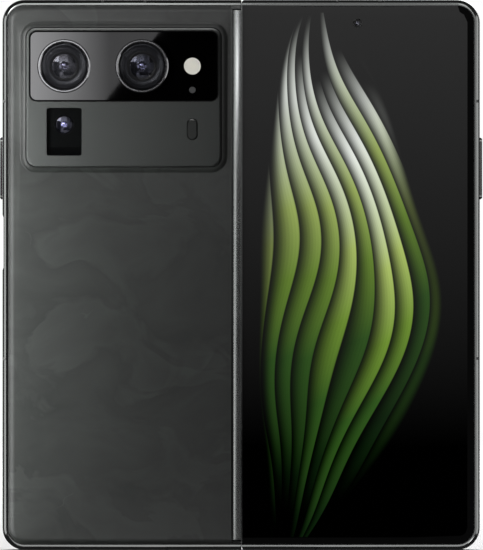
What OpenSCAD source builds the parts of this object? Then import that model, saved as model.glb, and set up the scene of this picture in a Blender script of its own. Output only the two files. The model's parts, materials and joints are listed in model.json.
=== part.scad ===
// Book-type foldable smartphone, open flat and standing on its bottom edge.
// X runs across both halves, Z up, the outer faces look towards -Y and the folding screen towards +Y.

/* [Body] */
// Height of the phone
body_h = 159.4; // [150:0.1:172]
// Width of one half, from the seam to its outer edge
half_w = 69.15; // [66:0.05:76]
// Thickness of one half, without the camera island
body_t = 6.9; // [6.7:0.1:8]
// Radius of the four outer corners
corner_r = 6.5; // [5.5:0.1:9]
// Radius of the rail's edge on the outer side
rail_outer_r = 1.5; // [0.8:0.1:1.8]
// Radius of the rail's edge on the screen side
rail_inner_r = 1.2; // [0.6:0.1:1.5]
// Wall of the rail
rail_wall = 2.6; // [2.3:0.1:3]
// Width of rail that shows beside the back cover and the cover glass
lip_w = 1.7; // [1.4:0.1:2]
// How far the rail lies below the crown of the covers
rail_sink = 0.25; // [0.1:0.05:0.4]
// Thickness of the plate that carries the folding screen
mid_plate_t = 0.8; // [0.5:0.1:1]
// Half of the gap between the two halves at the seam
seam_half_gap = 0.1; // [0.06:0.02:0.2]
// Radius of the cover half's corners at the seam
seam_corner_r = 1.2; // [0.6:0.1:1.6]

/* [Hinge] */
// Gap between the two inner faces when the phone is folded
fold_gap = 0.4; // [0.2:0.05:0.6]
// Depth of the fold axes below the inner face
axis_depth = 2.4; // [2.3:0.05:2.6]
// Thickness of the outer skin that runs over the spine
skin_t = 1.1; // [1:0.05:1.2]
// Clearance between the spine and the halves
spine_clear = 0.15; // [0.1:0.05:0.25]
// Wall of the spine cover
spine_wall = 0.6; // [0.4:0.05:0.7]
// Thickness of the spine's end caps
end_cap_t = 1.2; // [0.8:0.1:2]
// Distance from the seam at which the back of the camera half stops and the spine shows
spine_window = 2.45; // [2:0.05:3]
// Radius of the soft crown across the back of the spine
spine_crown_r = 12; // [10:0.5:30]
// Radius of the hinge pins
pin_r = 0.4; // [0.3:0.02:0.42]
// Radius of the idler gears' pins
idler_pin_r = 0.3; // [0.2:0.02:0.34]
// Radial clearance of a gear or knuckle on its pin
pin_clear = 0.03; // [0.02:0.01:0.05]
// Radius of the knuckles round the hinge pins
knuckle_r = 0.95; // [0.85:0.05:1]
// Thickness of the hinge arms
arm_t = 1.6; // [1.2:0.1:1.7]
// Length of one hinge unit along the spine
unit_len = 18; // [16:0.5:22]
// Distance of the outer hinge units' middles from the phone's ends
unit_inset = 17; // [15:0.5:25]
// Length of the arm's foot in its pocket
foot_len = 6; // [5:0.5:7]
// Number of teeth on each sync gear
gear_teeth = 10; // [9:1:12]
// Width of the gears' teeth along the spine
gear_w = 4; // [3:0.5:5]
// Angle by which the idler gears sit below the line of the fold axes
idler_dip = 30; // [24:1:34]
// Thickness of the flex cables through the hinge
flex_t = 0.15; // [0.1:0.05:0.2]
// Width of the flex cables
flex_w = 9; // [5:0.5:12]

/* [Covers and screens] */
// Thickness of the leather back
back_t = 0.6; // [0.5:0.05:0.75]
// Thickness of the cover glass
glass_t = 0.5; // [0.4:0.05:0.6]
// Thickness of the display panel under the cover glass
cover_panel_t = 0.25; // [0.15:0.05:0.3]
// Width over which the covers' edges curve down
crown_w = 2; // [1:0.1:2.3]
// How far the covers' edges curve down
crown_drop = 0.35; // [0.2:0.05:0.4]
// Distance of the leather's edge from the seam
leather_end = 2.9; // [2.6:0.05:3.4]
// Thickness of the folding screen
screen_t = 0.7; // [0.5:0.05:0.8]
// How far the inner bezel stands above the folding screen
bezel_rise = 0.3; // [0.2:0.05:0.4]
// Width of the inner bezel
bezel_w = 3; // [2.2:0.1:4]
// Half width of the bend zone of the folding screen
bend_half_w = 6; // [5.5:0.1:8]
// Assembly gap between pieces that are fitted or glued together
fit_gap = 0.05; // [0.03:0.01:0.08]

/* [Camera island] */
// Width of the island
island_w = 56.3; // [54:0.1:58]
// Height of the island
island_h = 40; // [38:0.1:44]
// Distance of the island from the outer edge
island_side = 7.05; // [6:0.05:9]
// Distance of the island from the top edge
island_top = 8.3; // [6:0.1:12]
// Corner radius of the island
island_r = 2.8; // [2.2:0.1:3.6]
// How far the island plate stands above the leather
island_rise = 1.35; // [1:0.05:1.6]
// Width of the chamfer round the island plate
island_chamfer = 0.5; // [0.2:0.05:0.6]
// Depth of the chamfer round the island plate
chamfer_drop = 0.22; // [0.15:0.01:0.5]
// Height of the soft swell of leather round the island
swell_h = 0.5; // [0.2:0.05:0.7]
// Width of the soft swell of leather round the island
swell_w = 2; // [1.2:0.1:2.6]
// How far the lens rings stand above the leather
ring_rise = 2.1; // [1.8:0.05:2.6]
// Outer radius of the two lens rings
ring_r = 7.7; // [7:0.1:8.4]
// Wall of the lens rings
ring_wall = 0.9; // [0.6:0.1:1.2]
// Distance between the two large lenses
lens_pitch = 22.5; // [21:0.1:24]
// Distance of the first large lens from the island's outer edge
lens_side = 10.9; // [10:0.1:13]
// Distance of the large lenses from the island's top
lens_down = 11; // [10.4:0.1:11.6]
// Height of the glass strip
strip_h = 20; // [19.4:0.1:20.4]
// Width of the metal border between the glass strip and the island's edge
strip_border = 1; // [0.8:0.05:1.2]
// Width of the two large camera modules
module_w = 13; // [12:0.1:14]
// Width of the lower camera module
lower_module_w = 9.5; // [8.5:0.1:10.5]
// Thickness of the glass strip
strip_t = 0.5; // [0.3:0.05:0.6]
// Chamfer round the glass strip
strip_chamfer = 0.2; // [0.1:0.05:0.3]
// Width of the lower camera window
window_w = 10.1; // [9:0.1:12]
// Height of the lower camera window
window_h = 13.8; // [12:0.1:14.5]
// Distance of the lower window's middle from the island's top
window_down = 30; // [29.5:0.1:31]
// Distance of the lower camera's lens from the top of its window
window_lens_down = 4.8; // [4.3:0.1:6]
// Radius of the flash
flash_r = 2.43; // [1.8:0.01:3]
// Distance of the flash from the second large lens
flash_pitch = 14.6; // [14:0.1:16]
// Distance of the light sensor below the flash
sensor_pitch = 6.9; // [6:0.1:7.5]
// Distance of the focus cover's middle from the island's top
pill_down = 29.3; // [27:0.1:32]

/* [Keys and ports] */
// Length of the volume rocker and of the key across from it
rocker_len = 18; // [15:0.5:22]
// Distance of the rocker's middle from the top edge
rocker_down = 48.8; // [46.4:0.1:51.4]
// How far the rocker stands out of the rail
rocker_rise = 0.75; // [0.5:0.05:1]
// Width of the keys
key_t = 2.4; // [1.8:0.1:2.7]
// Length of the recessed power key
power_len = 13.9; // [12:0.1:15]
// Distance of the power key's middle from the top edge
power_down = 70.3; // [68.4:0.1:73.4]
// Depth of the recess that the power key sits in
power_recess = 0.35; // [0.2:0.05:0.45]
// Travel of the keys
key_travel = 0.25; // [0.15:0.05:0.3]
// Running clearance round the keys and the tray
key_clear = 0.12; // [0.08:0.02:0.18]
// Width of the USB-C opening
usb_w = 8.34; // [8.34:0.01:8.6]
// Height of the USB-C opening
usb_t = 2.56; // [2.5:0.01:2.6]
// Distance of the USB-C port from the seam
usb_x = 34.5; // [30:0.1:38]
// Width of the SIM tray's lid
tray_w = 15; // [14:0.1:16]
// Distance of the SIM tray's middle from the outer edge
tray_side = 17.65; // [16.5:0.05:18.5]
// Length of the SIM tray
tray_len = 15.5; // [14:0.1:18]
// Width of the antenna bands
band_w = 0.8; // [0.5:0.1:1.2]
// Distance of the outer antenna bands in the top edge from the side edge
top_band_side = 29.05; // [28.5:0.05:31]
// Distance of the outer antenna bands in the bottom edge from the side edge
bottom_band_side = 21.6; // [20:0.05:24]
// Distance of the inner antenna bands in the top edge from the seam
top_band_in = 27.85; // [26:0.05:29]
// Distance of the inner antenna bands in the bottom edge from the seam
bottom_band_in = 21.6; // [20.8:0.05:24]
// Distance of the upper antenna bands in the side edges from the top edge
side_band_down = 29.4; // [27:0.1:32]
// Height of the lower antenna bands in the side edges above the bottom edge
side_band_up = 55.5; // [50:0.1:60]
// Length of the earpiece slit at the top of the cover glass
slit_len = 33.1; // [28:0.1:36]
// Distance of the cover screen's camera from the top edge
selfie_down = 6.9; // [6.2:0.1:8]
// Radius of the cover screen camera's opening
selfie_r = 1.4; // [1.2:0.05:2]

/* [Boards and batteries] */
// Height of the bays for the boards at the top
board_bay_h = 57; // [54:0.5:62]
// Height of the bays for the speaker and the charging board at the bottom
sub_bay_h = 16; // [15.5:0.5:20]
// Thickness of the boards
board_t = 0.8; // [0.6:0.1:1]
// Wall of the board shields
shield_wall = 0.2; // [0.15:0.05:0.3]
// Clearance of the pieces that lie in the bays
bay_clear = 0.8; // [0.5:0.1:1]

/* [Hidden] */
$fn = 64;

// A cut runs this far past the face that it opens
past = 1;
// Depth levels, from the outer face to the inner face
y_out = (ring_rise - body_t) / 2;
y_in = y_out + body_t;
rail_y0 = y_out + rail_sink;
rail_mid_y = (rail_y0 + rail_outer_r + y_in - rail_inner_r) / 2;
screen_y1 = y_in - bezel_rise;
screen_y0 = screen_y1 - screen_t;
plate_y0 = screen_y0 - mid_plate_t;
// The port and the tray lie just under the mid plate
port_y = plate_y0 - usb_t / 2 - 0.45;
// Fold axes and the round pocket that the spine turns in
axis_x = fold_gap / 2 + axis_depth;
axis_y = y_in - axis_depth;
pocket_r = body_t - axis_depth - skin_t;
spine_r = pocket_r - spine_clear;
spine_in_r = spine_r - spine_wall;
turn_r = axis_x - seam_half_gap / 2;
spine_edge_rise = 0.3;
rib_wall = 1.5;
pad_w = foot_len + 1.2;
rib_end = axis_x + pocket_r + rib_wall;
pad_end = axis_x + pocket_r + pad_w;
spine_end_gap = 0.4;
spine_z0 = rail_wall + spine_end_gap;
spine_len = body_h - 2 * spine_z0;
unit_z = [unit_inset, body_h / 2, body_h - unit_inset];
geared_units = [0, 2];
lug_len = 1.5;
screw_r = 0.48;
screw_head_r = 1.1;
screw_len = 3.2;
arm_gap = 0.2;
arm_len = unit_len - 2 * lug_len - 2 * arm_gap;
// Sync gears: all four have the same pitch radius, so that they span the two fold axes
gear_r = axis_x / (1 + 2 * cos(idler_dip));
gear_m = 2 * gear_r / gear_teeth;
gear_tip_r = gear_r + 0.75 * gear_m;
gear_root_r = gear_r - 1.05 * gear_m;
gear_pressure = 22;
gear_backlash = 1.6;
idler_x = gear_r;
idler_y = axis_y - 2 * gear_r * sin(idler_dip);
tooth_pitch = 360 / gear_teeth;
left_arm_phase = 0;
left_idler_phase = mesh_phase(left_arm_phase, -idler_dip);
right_idler_phase = mesh_phase(left_idler_phase, 0);
right_arm_phase = mesh_phase(right_idler_phase, idler_dip);
// Screen support at the fold
wing_start = 1.6;
wing_t = 0.5;
wing_y0 = screen_y0 - wing_t;
centre_half_w = axis_x - arm_t / 2 - 0.2;
centre_plate_t = 0.35;
recess_inset = rail_inner_r + 0.1;
screen_inset = recess_inset + 0.8;
bend_inset = rail_wall + 0.2;
// Flex cables run between the hinge units
flex_y0 = axis_y + 0.38;
flex_z = [(unit_z[0] + unit_z[1]) / 2, (unit_z[1] + unit_z[2]) / 2];
flex_half_len = pad_end + 3;
// Inner bays
bay_y0 = y_out + skin_t + 0.1;
bay_y1 = flex_y0 - 0.05;
bay_side = half_w - rail_wall - bay_clear;
bay_seam = pad_end + bay_clear;
board_bay_z = body_h - board_bay_h;
wall_t = 0.8;
// Camera island, in distances from its outer top corner
island_y = y_out - island_rise;
window_side = lens_side;
strip_r = 2;
strip_y = island_y + 0.02;
lens_u = [lens_side, lens_side + lens_pitch];
flash_u = lens_side + lens_pitch + flash_pitch;
sensor_down = lens_down + sensor_pitch;
barrel_y = y_out - ring_rise + 1.1;
lower_lens_down = window_down - window_h / 2 + window_lens_down;
lower_barrel_r = 3.2;
pill_chamfer = 0.4;
pill_drop = 0.16;
pill_w = 3.1;
pill_h = 6.2;
usb_len = 7.4;
tongue_w = 6.7;
tongue_t = 0.7;
motor_r = 4.5;
// Keys
rocker_z = body_h - rocker_down;
power_z = body_h - power_down;
key_flange_t = 0.6;
key_flange_over = 0.45;
key_pocket_d = 1.3;
rocker_slack = key_travel + 0.05;
rocker_axis_x = half_w - key_pocket_d - rocker_slack - key_flange_t / 2;
fulcrum_r = 0.5;
power_slope = 1.2;
// Antenna bands: distances from the seam in the top and bottom rails, heights in the side rails
top_bands = [half_w - top_band_side, top_band_in];
bottom_bands = [half_w - bottom_band_side, bottom_band_in];
side_bands = [body_h - side_band_down, side_band_up];
band_depth = 1;
mic_r = 0.35;
top_mic_x = 24.1;
bottom_mic_x = 44.1;
speaker_holes = 4;
speaker_pitch = 1.4;
speaker_x0 = 15.3;
speaker_hole_r = 0.45;
// Cover half's own pieces
selfie_x = (seam_half_gap + half_w - lip_w) / 2;
front_cam_base = 5.2;
earpiece_len = 12;
slit_x0 = selfie_x - slit_len / 2;
slit_h = 0.4;
inner_cam_x = 22;
inner_cam_down = 7.4;
tray_t = 2;
reader_wall = 0.3;
reader_side = 1;
reader_z0 = body_h - tray_len - 0.4 - reader_side;
tray_x = half_w - tray_side;
card_w = 12.4;
card_len = 8.9;

// ---------- helpers ----------

// Phase of a gear that meshes with another of the same size, which lies in direction dir from it
function mesh_phase(phase, dir) = 2 * dir + 180 - phase + tooth_pitch / 2;

function involute(a) = tan(a) * 180 / PI - a;

// Half the angle that a tooth fills at radius r
function tooth_half(r) =
    let (base_r = gear_r * cos(gear_pressure),
         at_r = acos(base_r / max(r, base_r)))
    (tooth_pitch - gear_backlash) / 4 + involute(gear_pressure) - involute(at_r);

function gear_points(phase) =
    let (steps = 4,
         radii = [gear_root_r, for (i = [0:steps])
             let (base_r = gear_r * cos(gear_pressure)) base_r + (gear_tip_r - base_r) * i / steps])
    [for (tooth = [0:gear_teeth - 1], side = [-1, 1], k = [0:len(radii) - 1])
        let (r = radii[side < 0 ? k : len(radii) - 1 - k],
             a = phase + tooth * tooth_pitch + side * tooth_half(r))
        [r * cos(a), r * sin(a)]];

module gear(phase, bore_r, width) {
    linear_extrude(width) difference() {
        polygon(gear_points(phase));
        circle(bore_r);
    }
}

// Rounded rectangle in the plane of the phone: x across, y up
module rounded(x0, x1, z0, z1, r) {
    translate([x0 + r, z0]) square([x1 - x0 - 2 * r, z1 - z0]);
    translate([x0, z0 + r]) square([x1 - x0, z1 - z0 - 2 * r]);
    for (x = [x0 + r, x1 - r], z = [z0 + r, z1 - r]) translate([x, z]) circle(r);
}

// Stands a shape drawn in the plane of the phone up between two depths
module plate(y0, y1) {
    translate([0, y1, 0]) rotate([90, 0, 0]) linear_extrude(y1 - y0) children();
}

// Outline of the cover half from from_x outwards, drawn in by inset
module half_outline(from_x, inset) {
    edge_x = half_w - corner_r;
    translate([from_x, inset]) square([edge_x - from_x, body_h - 2 * inset]);
    translate([from_x, corner_r]) square([half_w - inset - from_x, body_h - 2 * corner_r]);
    for (z = [corner_r, body_h - corner_r]) translate([edge_x, z]) circle(corner_r - inset);
}

// Sweeps a profile (distance in from the edge, depth) along the top, outer and bottom edges of a half
module rim(from_x) {
    edge_x = half_w - corner_r;
    translate([from_x, 0, body_h]) rotate([0, 90, 0]) linear_extrude(edge_x - from_x) children();
    translate([edge_x, 0, 0]) rotate([0, -90, 0]) linear_extrude(edge_x - from_x) children();
    translate([half_w, 0, body_h - corner_r]) rotate([0, 180, 0])
        linear_extrude(body_h - 2 * corner_r) children();
    translate([edge_x, 0, body_h - corner_r]) rotate([-90, 0, 0]) rotate([0, 0, -90])
        rotate_extrude(angle = 90) translate([corner_r, 0]) mirror([1, 0]) children();
    translate([edge_x, 0, corner_r]) rotate([-90, 0, 0])
        rotate_extrude(angle = 90) translate([corner_r, 0]) mirror([1, 0]) children();
}

// Sweeps a profile (distance in from the edge, depth) round a whole rounded rectangle
module ring_sweep(x0, x1, z0, z1, r) {
    translate([x0 + r, 0, z1]) rotate([0, 90, 0]) linear_extrude(x1 - x0 - 2 * r) children();
    translate([x1 - r, 0, z0]) rotate([0, -90, 0]) linear_extrude(x1 - x0 - 2 * r) children();
    translate([x1, 0, z1 - r]) rotate([0, 180, 0]) linear_extrude(z1 - z0 - 2 * r) children();
    translate([x0, 0, z0 + r]) linear_extrude(z1 - z0 - 2 * r) children();
    corners = [[x1 - r, z1 - r, -90], [x1 - r, z0 + r, 0],
        [x0 + r, z0 + r, 90], [x0 + r, z1 - r, 180]];
    for (c = corners) translate([c[0], 0, c[1]]) rotate([-90, 0, 0]) rotate([0, 0, c[2]])
        rotate_extrude(angle = 90) translate([r, 0]) mirror([1, 0]) children();
}

// Takes the corner off an edge: a square less the quarter circle that stays
module corner_waste(r) {
    difference() {
        translate([-past, -past]) square([r + past, r + past]);
        translate([r, r]) circle(r);
    }
}

// Profile of a chamfered edge that reaches width inwards
module chamfered(y0, y1, across, deep, width) {
    polygon([[0, y0 + deep], [across, y0], [width, y0], [width, y1], [0, y1]]);
}

// Crowned edge of a cover: the arc that falls by crown_drop over crown_w
module crown_edge(thick) {
    crown_r = (crown_w * crown_w + crown_drop * crown_drop) / (2 * crown_drop);
    translate([lip_w, 0]) intersection() {
        translate([0, y_out]) square([crown_w + 0.2, thick]);
        translate([crown_w, y_out + crown_r]) circle(crown_r);
    }
}

module crowned_cover(from_x, thick) {
    plate(y_out, y_out + thick) half_outline(from_x, lip_w + crown_w);
    rim(from_x) crown_edge(thick);
}

module slot_hole(w, h, depth) {
    linear_extrude(depth) {
        square([w - h, h], center = true);
        for (s = [-1, 1]) translate([s * (w - h) / 2, 0]) circle(h / 2);
    }
}

// Stadium bar that lies in a side rail, its length along Z and its depth along X from x0 to x1
module side_bar(x0, x1, z, w, len) {
    translate([x0, rail_mid_y, z]) rotate([0, 90, 0]) slot_hole(len, w, x1 - x0);
}

module mirrored() {
    mirror([1, 0, 0]) children();
}

// ---------- one half's frame ----------

module rail_profile(cover_t) {
    difference() {
        translate([0, rail_y0]) square([rail_wall, y_in - rail_y0]);
        translate([0, rail_y0]) corner_waste(rail_outer_r);
        translate([0, y_in]) mirror([0, 1]) corner_waste(rail_inner_r);
        translate([lip_w, rail_y0 - past]) square([rail_wall, y_out + cover_t - rail_y0 + past]);
    }
}

// Section through the hinge side, seen along the fold axis
module hinge_side_section(lip_y0) {
    difference() {
        translate([0, lip_y0]) square([rib_end, plate_y0 + mid_plate_t - lip_y0]);
        translate([axis_x, axis_y]) circle(pocket_r);
        translate([-past, axis_y - pocket_r]) square([axis_x + past, body_t]);
        translate([-past, axis_y]) square([axis_x + past, body_t]);
    }
}

module arm_pocket(z) {
    translate([axis_x, axis_y - arm_t / 2 - fit_gap, z - arm_len / 2 - fit_gap])
        cube([pocket_r + foot_len + fit_gap, y_in - axis_y, arm_len + 2 * fit_gap]);
}

module screw_holes(z) {
    for (dz = [-1, 1] * arm_len / 4)
        translate([axis_x + pocket_r + foot_len / 2 + 0.6, y_in, z + dz])
            rotate([90, 0, 0]) children();
}

// Frame of one half: cover_t is the thickness of the cover on its lip, lip_from where that lip starts
module half_frame(cover_t, lip_from) {
    seat_y = y_out + cover_t;
    difference() {
        union() {
            rim(seam_half_gap) rail_profile(cover_t);
            plate(plate_y0, screen_y0) half_outline(rib_end - past, rail_wall - 0.5);
            translate([0, 0, rail_wall - 0.3]) linear_extrude(body_h - 2 * rail_wall + 0.6)
                difference() {
                    hinge_side_section(seat_y);
                    translate([-past, seat_y - past]) square([lip_from + past, body_t]);
                }
            for (z = unit_z)
                translate([rib_end - 0.2, seat_y, z - unit_len / 2])
                    cube([pad_end - rib_end + 0.2, screen_y0 - seat_y, unit_len]);
            for (z = [sub_bay_h, board_bay_z])
                translate([rib_end - 0.2, bay_y0, z])
                    cube([half_w - rail_wall + 0.2 - rib_end + 0.2, screen_y0 - bay_y0, wall_t]);
        }
        // the inner edges of the rails are turned about the fold axis, so that both halves clear
        translate([0, 0, -past]) linear_extrude(body_h + 2 * past) difference() {
            translate([-past, axis_y]) square([axis_x + past, axis_depth + past]);
            translate([axis_x, axis_y]) circle(turn_r);
        }
        rim(axis_x) translate([recess_inset, screen_y0]) square([rail_wall, body_t]);
        for (z = unit_z) arm_pocket(z);
        for (z = unit_z) screw_holes(z) translate([0, 0, y_in - axis_y - arm_t / 2])
            cylinder(r = screw_r + 0.02, h = screw_len + 0.8);
        // the wing plate lies in a step of the mid plate
        plate(wing_y0, y_in) translate([axis_x + pocket_r - 1.5, rail_wall])
            square([pad_end - axis_x - pocket_r + 1.5, body_h - 2 * rail_wall]);
        // slots for the flex cables
        for (z = flex_z) translate([axis_x, flex_y0 - 0.15, z - flex_w / 2 - 0.4])
            cube([pad_end, wing_y0 - flex_y0 + 0.2, flex_w + 0.8]);
    }
}

module band_boxes() {
    for (x = top_bands) translate([x - band_w / 2, y_out - past, body_h / 2])
        cube([band_w, body_t + 2 * past, body_h]);
    for (x = bottom_bands) translate([x - band_w / 2, y_out - past, -body_h / 2])
        cube([band_w, body_t + 2 * past, body_h]);
    for (z = side_bands) translate([half_w / 2, y_out - past, z - band_w / 2])
        cube([half_w, body_t + 2 * past, band_w]);
}

// Outer millimetre of the rail, which the antenna bands are inlaid in
module band_profile() {
    difference() {
        translate([0, rail_y0]) square([band_depth, y_in - rail_y0]);
        translate([0, rail_y0]) corner_waste(rail_outer_r);
        translate([0, y_in]) mirror([0, 1]) corner_waste(rail_inner_r);
    }
}

module antenna_bands() {
    color("#3a3c3b") intersection() {
        rim(seam_half_gap) band_profile();
        band_boxes();
    }
}

module band_cuts() {
    intersection() {
        rim(seam_half_gap) translate([-past, rail_y0 - past])
            square([band_depth + past, body_t + 2 * past]);
        band_boxes();
    }
}

module mic_hole(x, z) {
    translate([x, rail_mid_y, z]) cylinder(r = mic_r, h = rail_wall + 2 * past);
}

// Opening through a side rail for a key with a retaining flange
module key_opening(z, len) {
    side_bar(half_w - rail_wall - past, half_w + past, z, key_t + 2 * key_clear, len + 2 * key_clear);
    side_bar(half_w - rail_wall - past, half_w - key_pocket_d, z,
        key_t + 2 * key_flange_over + 2 * key_clear, len + 2 * key_flange_over + 2 * key_clear);
}

// slack is the play outside the flange, which a key that tilts needs
module key_body(z, len, face_x, slack) {
    flange_x1 = half_w - key_pocket_d - slack;
    side_bar(flange_x1 - key_flange_t / 2, face_x - 0.3, z, key_t, len);
    side_bar(face_x - 0.31, face_x, z, key_t - 0.5, len - 0.5);
    side_bar(flange_x1 - key_flange_t, flange_x1, z,
        key_t + 2 * key_flange_over, len + 2 * key_flange_over);
}

// Dome switches at the given heights on their carrier, behind a key
module key_switch(z, len, slack, domes) {
    dome_x = half_w - key_pocket_d - slack - key_flange_t - key_travel - 0.1;
    carrier_x = half_w - rail_wall - 0.75;
    for (dz = domes) translate([carrier_x, rail_mid_y, z + dz]) rotate([0, 90, 0])
        cylinder(r = 1, h = dome_x - carrier_x);
    translate([carrier_x, rail_mid_y - 1.2, z - len / 2]) cube([0.4, 2.4, len]);
}

// ---------- camera half ----------

module camera_half_frame() {
    color("#3b3d3c") mirrored() difference() {
        half_frame(back_t, spine_window);
        band_cuts();
        key_opening(rocker_z, rocker_len);
        key_opening(power_z, power_len);
        // recess of the power key, with sloped ends
        plate(y_out - past, y_in + past) polygon([
            [half_w + past, power_z - power_len / 2 - power_slope - 1.4],
            [half_w, power_z - power_len / 2 - power_slope],
            [half_w - power_recess, power_z - power_len / 2 - 0.3],
            [half_w - power_recess, power_z + power_len / 2 + 0.3],
            [half_w, power_z + power_len / 2 + power_slope],
            [half_w + past, power_z + power_len / 2 + power_slope + 1.4]]);
        translate([usb_x, port_y, -past])
            slot_hole(usb_w + 0.6 + 2 * fit_gap, usb_t + 0.6 + 2 * fit_gap, rail_wall + 2 * past);
        mic_hole(top_mic_x, body_h - rail_wall - past);
        mic_hole(bottom_mic_x, -past);
        for (i = [0:speaker_holes - 1]) translate([speaker_x0 + i * speaker_pitch, rail_mid_y, -past])
            cylinder(r = speaker_hole_r, h = rail_wall + 2 * past);
    }
}

module camera_half_antenna_bands() {
    mirrored() antenna_bands();
}

// Places children at a distance from the island's outer edge (u) and from its top (v)
module at_island(u, v) {
    translate([island_side + u - half_w, 0, body_h - island_top - v]) children();
}

module island_rect(grow, r) {
    rounded(-grow, island_w + grow, -island_h - grow, grow, r);
}

module leather_back() {
    swell_r = (swell_w * swell_w + swell_h * swell_h) / (2 * swell_h);
    color("#3f4240") difference() {
        union() {
            mirrored() crowned_cover(leather_end, back_t);
            at_island(0, 0) {
                ring_sweep(-swell_w, island_w + swell_w, -island_h - swell_w, swell_w, island_r + swell_w)
                    intersection() {
                        translate([0, y_out - swell_h]) square([swell_w + 0.5, swell_h + back_t / 2]);
                        translate([swell_w, y_out - swell_h + swell_r]) circle(swell_r);
                    }
            }
        }
        at_island(0, 0) plate(y_out - island_rise - past, y_out + back_t + past)
            island_rect(fit_gap, island_r);
    }
}

module island_strip(grow) {
    rounded(strip_border - grow, island_w - strip_border + grow, -strip_border - strip_h - grow,
        -strip_border + grow, strip_r);
}

module window_rect(grow) {
    rounded(window_side - window_w / 2 - grow, window_side + window_w / 2 + grow,
        -window_down - window_h / 2 - grow, -window_down + window_h / 2 + grow, 0.7);
}

module pill_shape(grow) {
    rounded(flash_u - pill_w / 2 - grow, flash_u + pill_w / 2 + grow,
        -pill_down - pill_h / 2 - grow, -pill_down + pill_h / 2 + grow, pill_w / 2 + min(grow, 0) - 0.05);
}

module camera_island() {
    floor_y = y_out + skin_t;
    color("#474a48") difference() {
        at_island(0, 0) {
            plate(island_y, floor_y) rounded(island_chamfer, island_w - island_chamfer,
                -island_h + island_chamfer, -island_chamfer, island_r - island_chamfer);
            ring_sweep(0, island_w, -island_h, 0, island_r)
                chamfered(island_y, y_out + back_t, island_chamfer, chamfer_drop, island_r - 0.1);
        }
        // the frame's lip and pads lie under the part nearest the hinge
        translate([-pad_end - 0.4, y_out + back_t, 0]) cube([pad_end, body_t, body_h]);
        at_island(0, 0) plate(island_y - past, island_y + strip_t) island_strip(fit_gap);
        at_island(0, 0) plate(island_y - past, island_y + 0.9) window_rect(fit_gap);
        at_island(0, 0) plate(island_y - past, island_y + 0.35) pill_shape(fit_gap);
        for (u = lens_u) at_island(u, lens_down) rotate([-90, 0, 0])
            translate([0, 0, island_y - past]) cylinder(r = ring_r - ring_wall + 0.15, h = body_t);
        at_island(window_side, lower_lens_down) rotate([-90, 0, 0])
            translate([0, 0, island_y]) cylinder(r = lower_barrel_r + 0.2, h = body_t);
        at_island(flash_u, lens_down) rotate([-90, 0, 0])
            translate([0, 0, island_y - past]) cylinder(r = flash_r + fit_gap, h = past + strip_t + 0.6);
        at_island(flash_u, sensor_down) rotate([-90, 0, 0])
            translate([0, 0, island_y - past]) cylinder(r = 1, h = past + strip_t + 0.5);
    }
}

module island_glass() {
    color([0.05, 0.05, 0.06]) difference() {
        at_island(0, 0) {
            plate(strip_y, island_y + strip_t) island_strip(-strip_chamfer);
            ring_sweep(strip_border, island_w - strip_border, -strip_border - strip_h, -strip_border, strip_r)
                chamfered(strip_y, island_y + strip_t, strip_chamfer, strip_chamfer, strip_r - 0.1);
        }
        for (u = lens_u) at_island(u, lens_down) rotate([-90, 0, 0])
            translate([0, 0, island_y - past]) cylinder(r = ring_r + fit_gap, h = body_t);
        at_island(flash_u, lens_down) rotate([-90, 0, 0])
            translate([0, 0, island_y - past]) cylinder(r = flash_r + fit_gap, h = body_t);
        at_island(flash_u, sensor_down) rotate([-90, 0, 0])
            translate([0, 0, island_y - past]) cylinder(r = 0.95 + fit_gap, h = body_t);
    }
}

// Lens ring with a chamfered rim, seated on the island round its opening
module lens_ring(u) {
    seat = island_y + strip_t;
    top = y_out - ring_rise;
    color("#2b2c2e") at_island(u, lens_down) rotate([-90, 0, 0]) rotate_extrude() polygon([
        [ring_r - ring_wall, seat], [ring_r, seat], [ring_r, top + 0.25],
        [ring_r - 0.25, top], [ring_r - 0.55, top], [ring_r - ring_wall, top + 0.35]]);
}

module left_lens_ring() {
    lens_ring(lens_u[0]);
}

module right_lens_ring() {
    lens_ring(lens_u[1]);
}

module lens_glass(u) {
    top = y_out - ring_rise + 0.4;
    color([0.1, 0.1, 0.12, 0.5]) at_island(u, lens_down) rotate([-90, 0, 0])
        translate([0, 0, top]) cylinder(r = ring_r - ring_wall - fit_gap, h = 0.6);
}

module left_lens_glass() {
    lens_glass(lens_u[0]);
}

module right_lens_glass() {
    lens_glass(lens_u[1]);
}

// Camera module: a square housing with a stepped barrel and a domed front lens
module camera_module(u, v, size, barrel_r, front_y) {
    dome_r = 0.45 * barrel_r;
    color("#17181b") at_island(u, v) {
        plate(bay_y0 + 0.6, bay_y1) rounded(-size / 2, size / 2, -size / 2, size / 2, 0.8);
        rotate([-90, 0, 0]) {
            rotate_extrude() polygon([[0, front_y + 1.2], [0.62 * barrel_r, front_y + 1.2],
                [0.72 * barrel_r, front_y + 0.6], [0.86 * barrel_r, front_y + 0.6],
                [0.9 * barrel_r, front_y + 0.1], [barrel_r, front_y + 0.1], [barrel_r, bay_y0 + 0.7],
                [0, bay_y0 + 0.7]]);
            translate([0, 0, front_y + 1.3]) intersection() {
                translate([0, 0, dome_r * 1.2]) sphere(dome_r * 1.5);
                translate([0, 0, -dome_r * 0.3]) cylinder(r = dome_r * 1.2, h = dome_r);
            }
        }
    }
}

module left_camera_module() {
    camera_module(lens_u[0], lens_down, module_w, ring_r - ring_wall - 0.4, barrel_y);
}

module right_camera_module() {
    camera_module(lens_u[1], lens_down, module_w, ring_r - ring_wall - 0.4, barrel_y);
}

module lower_window() {
    color([0.03, 0.03, 0.04, 0.6]) at_island(0, 0) plate(island_y + 0.15, island_y + 0.75) window_rect(0);
}

module lower_camera_module() {
    camera_module(window_side, lower_lens_down, lower_module_w, lower_barrel_r, island_y + 0.85);
}

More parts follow.
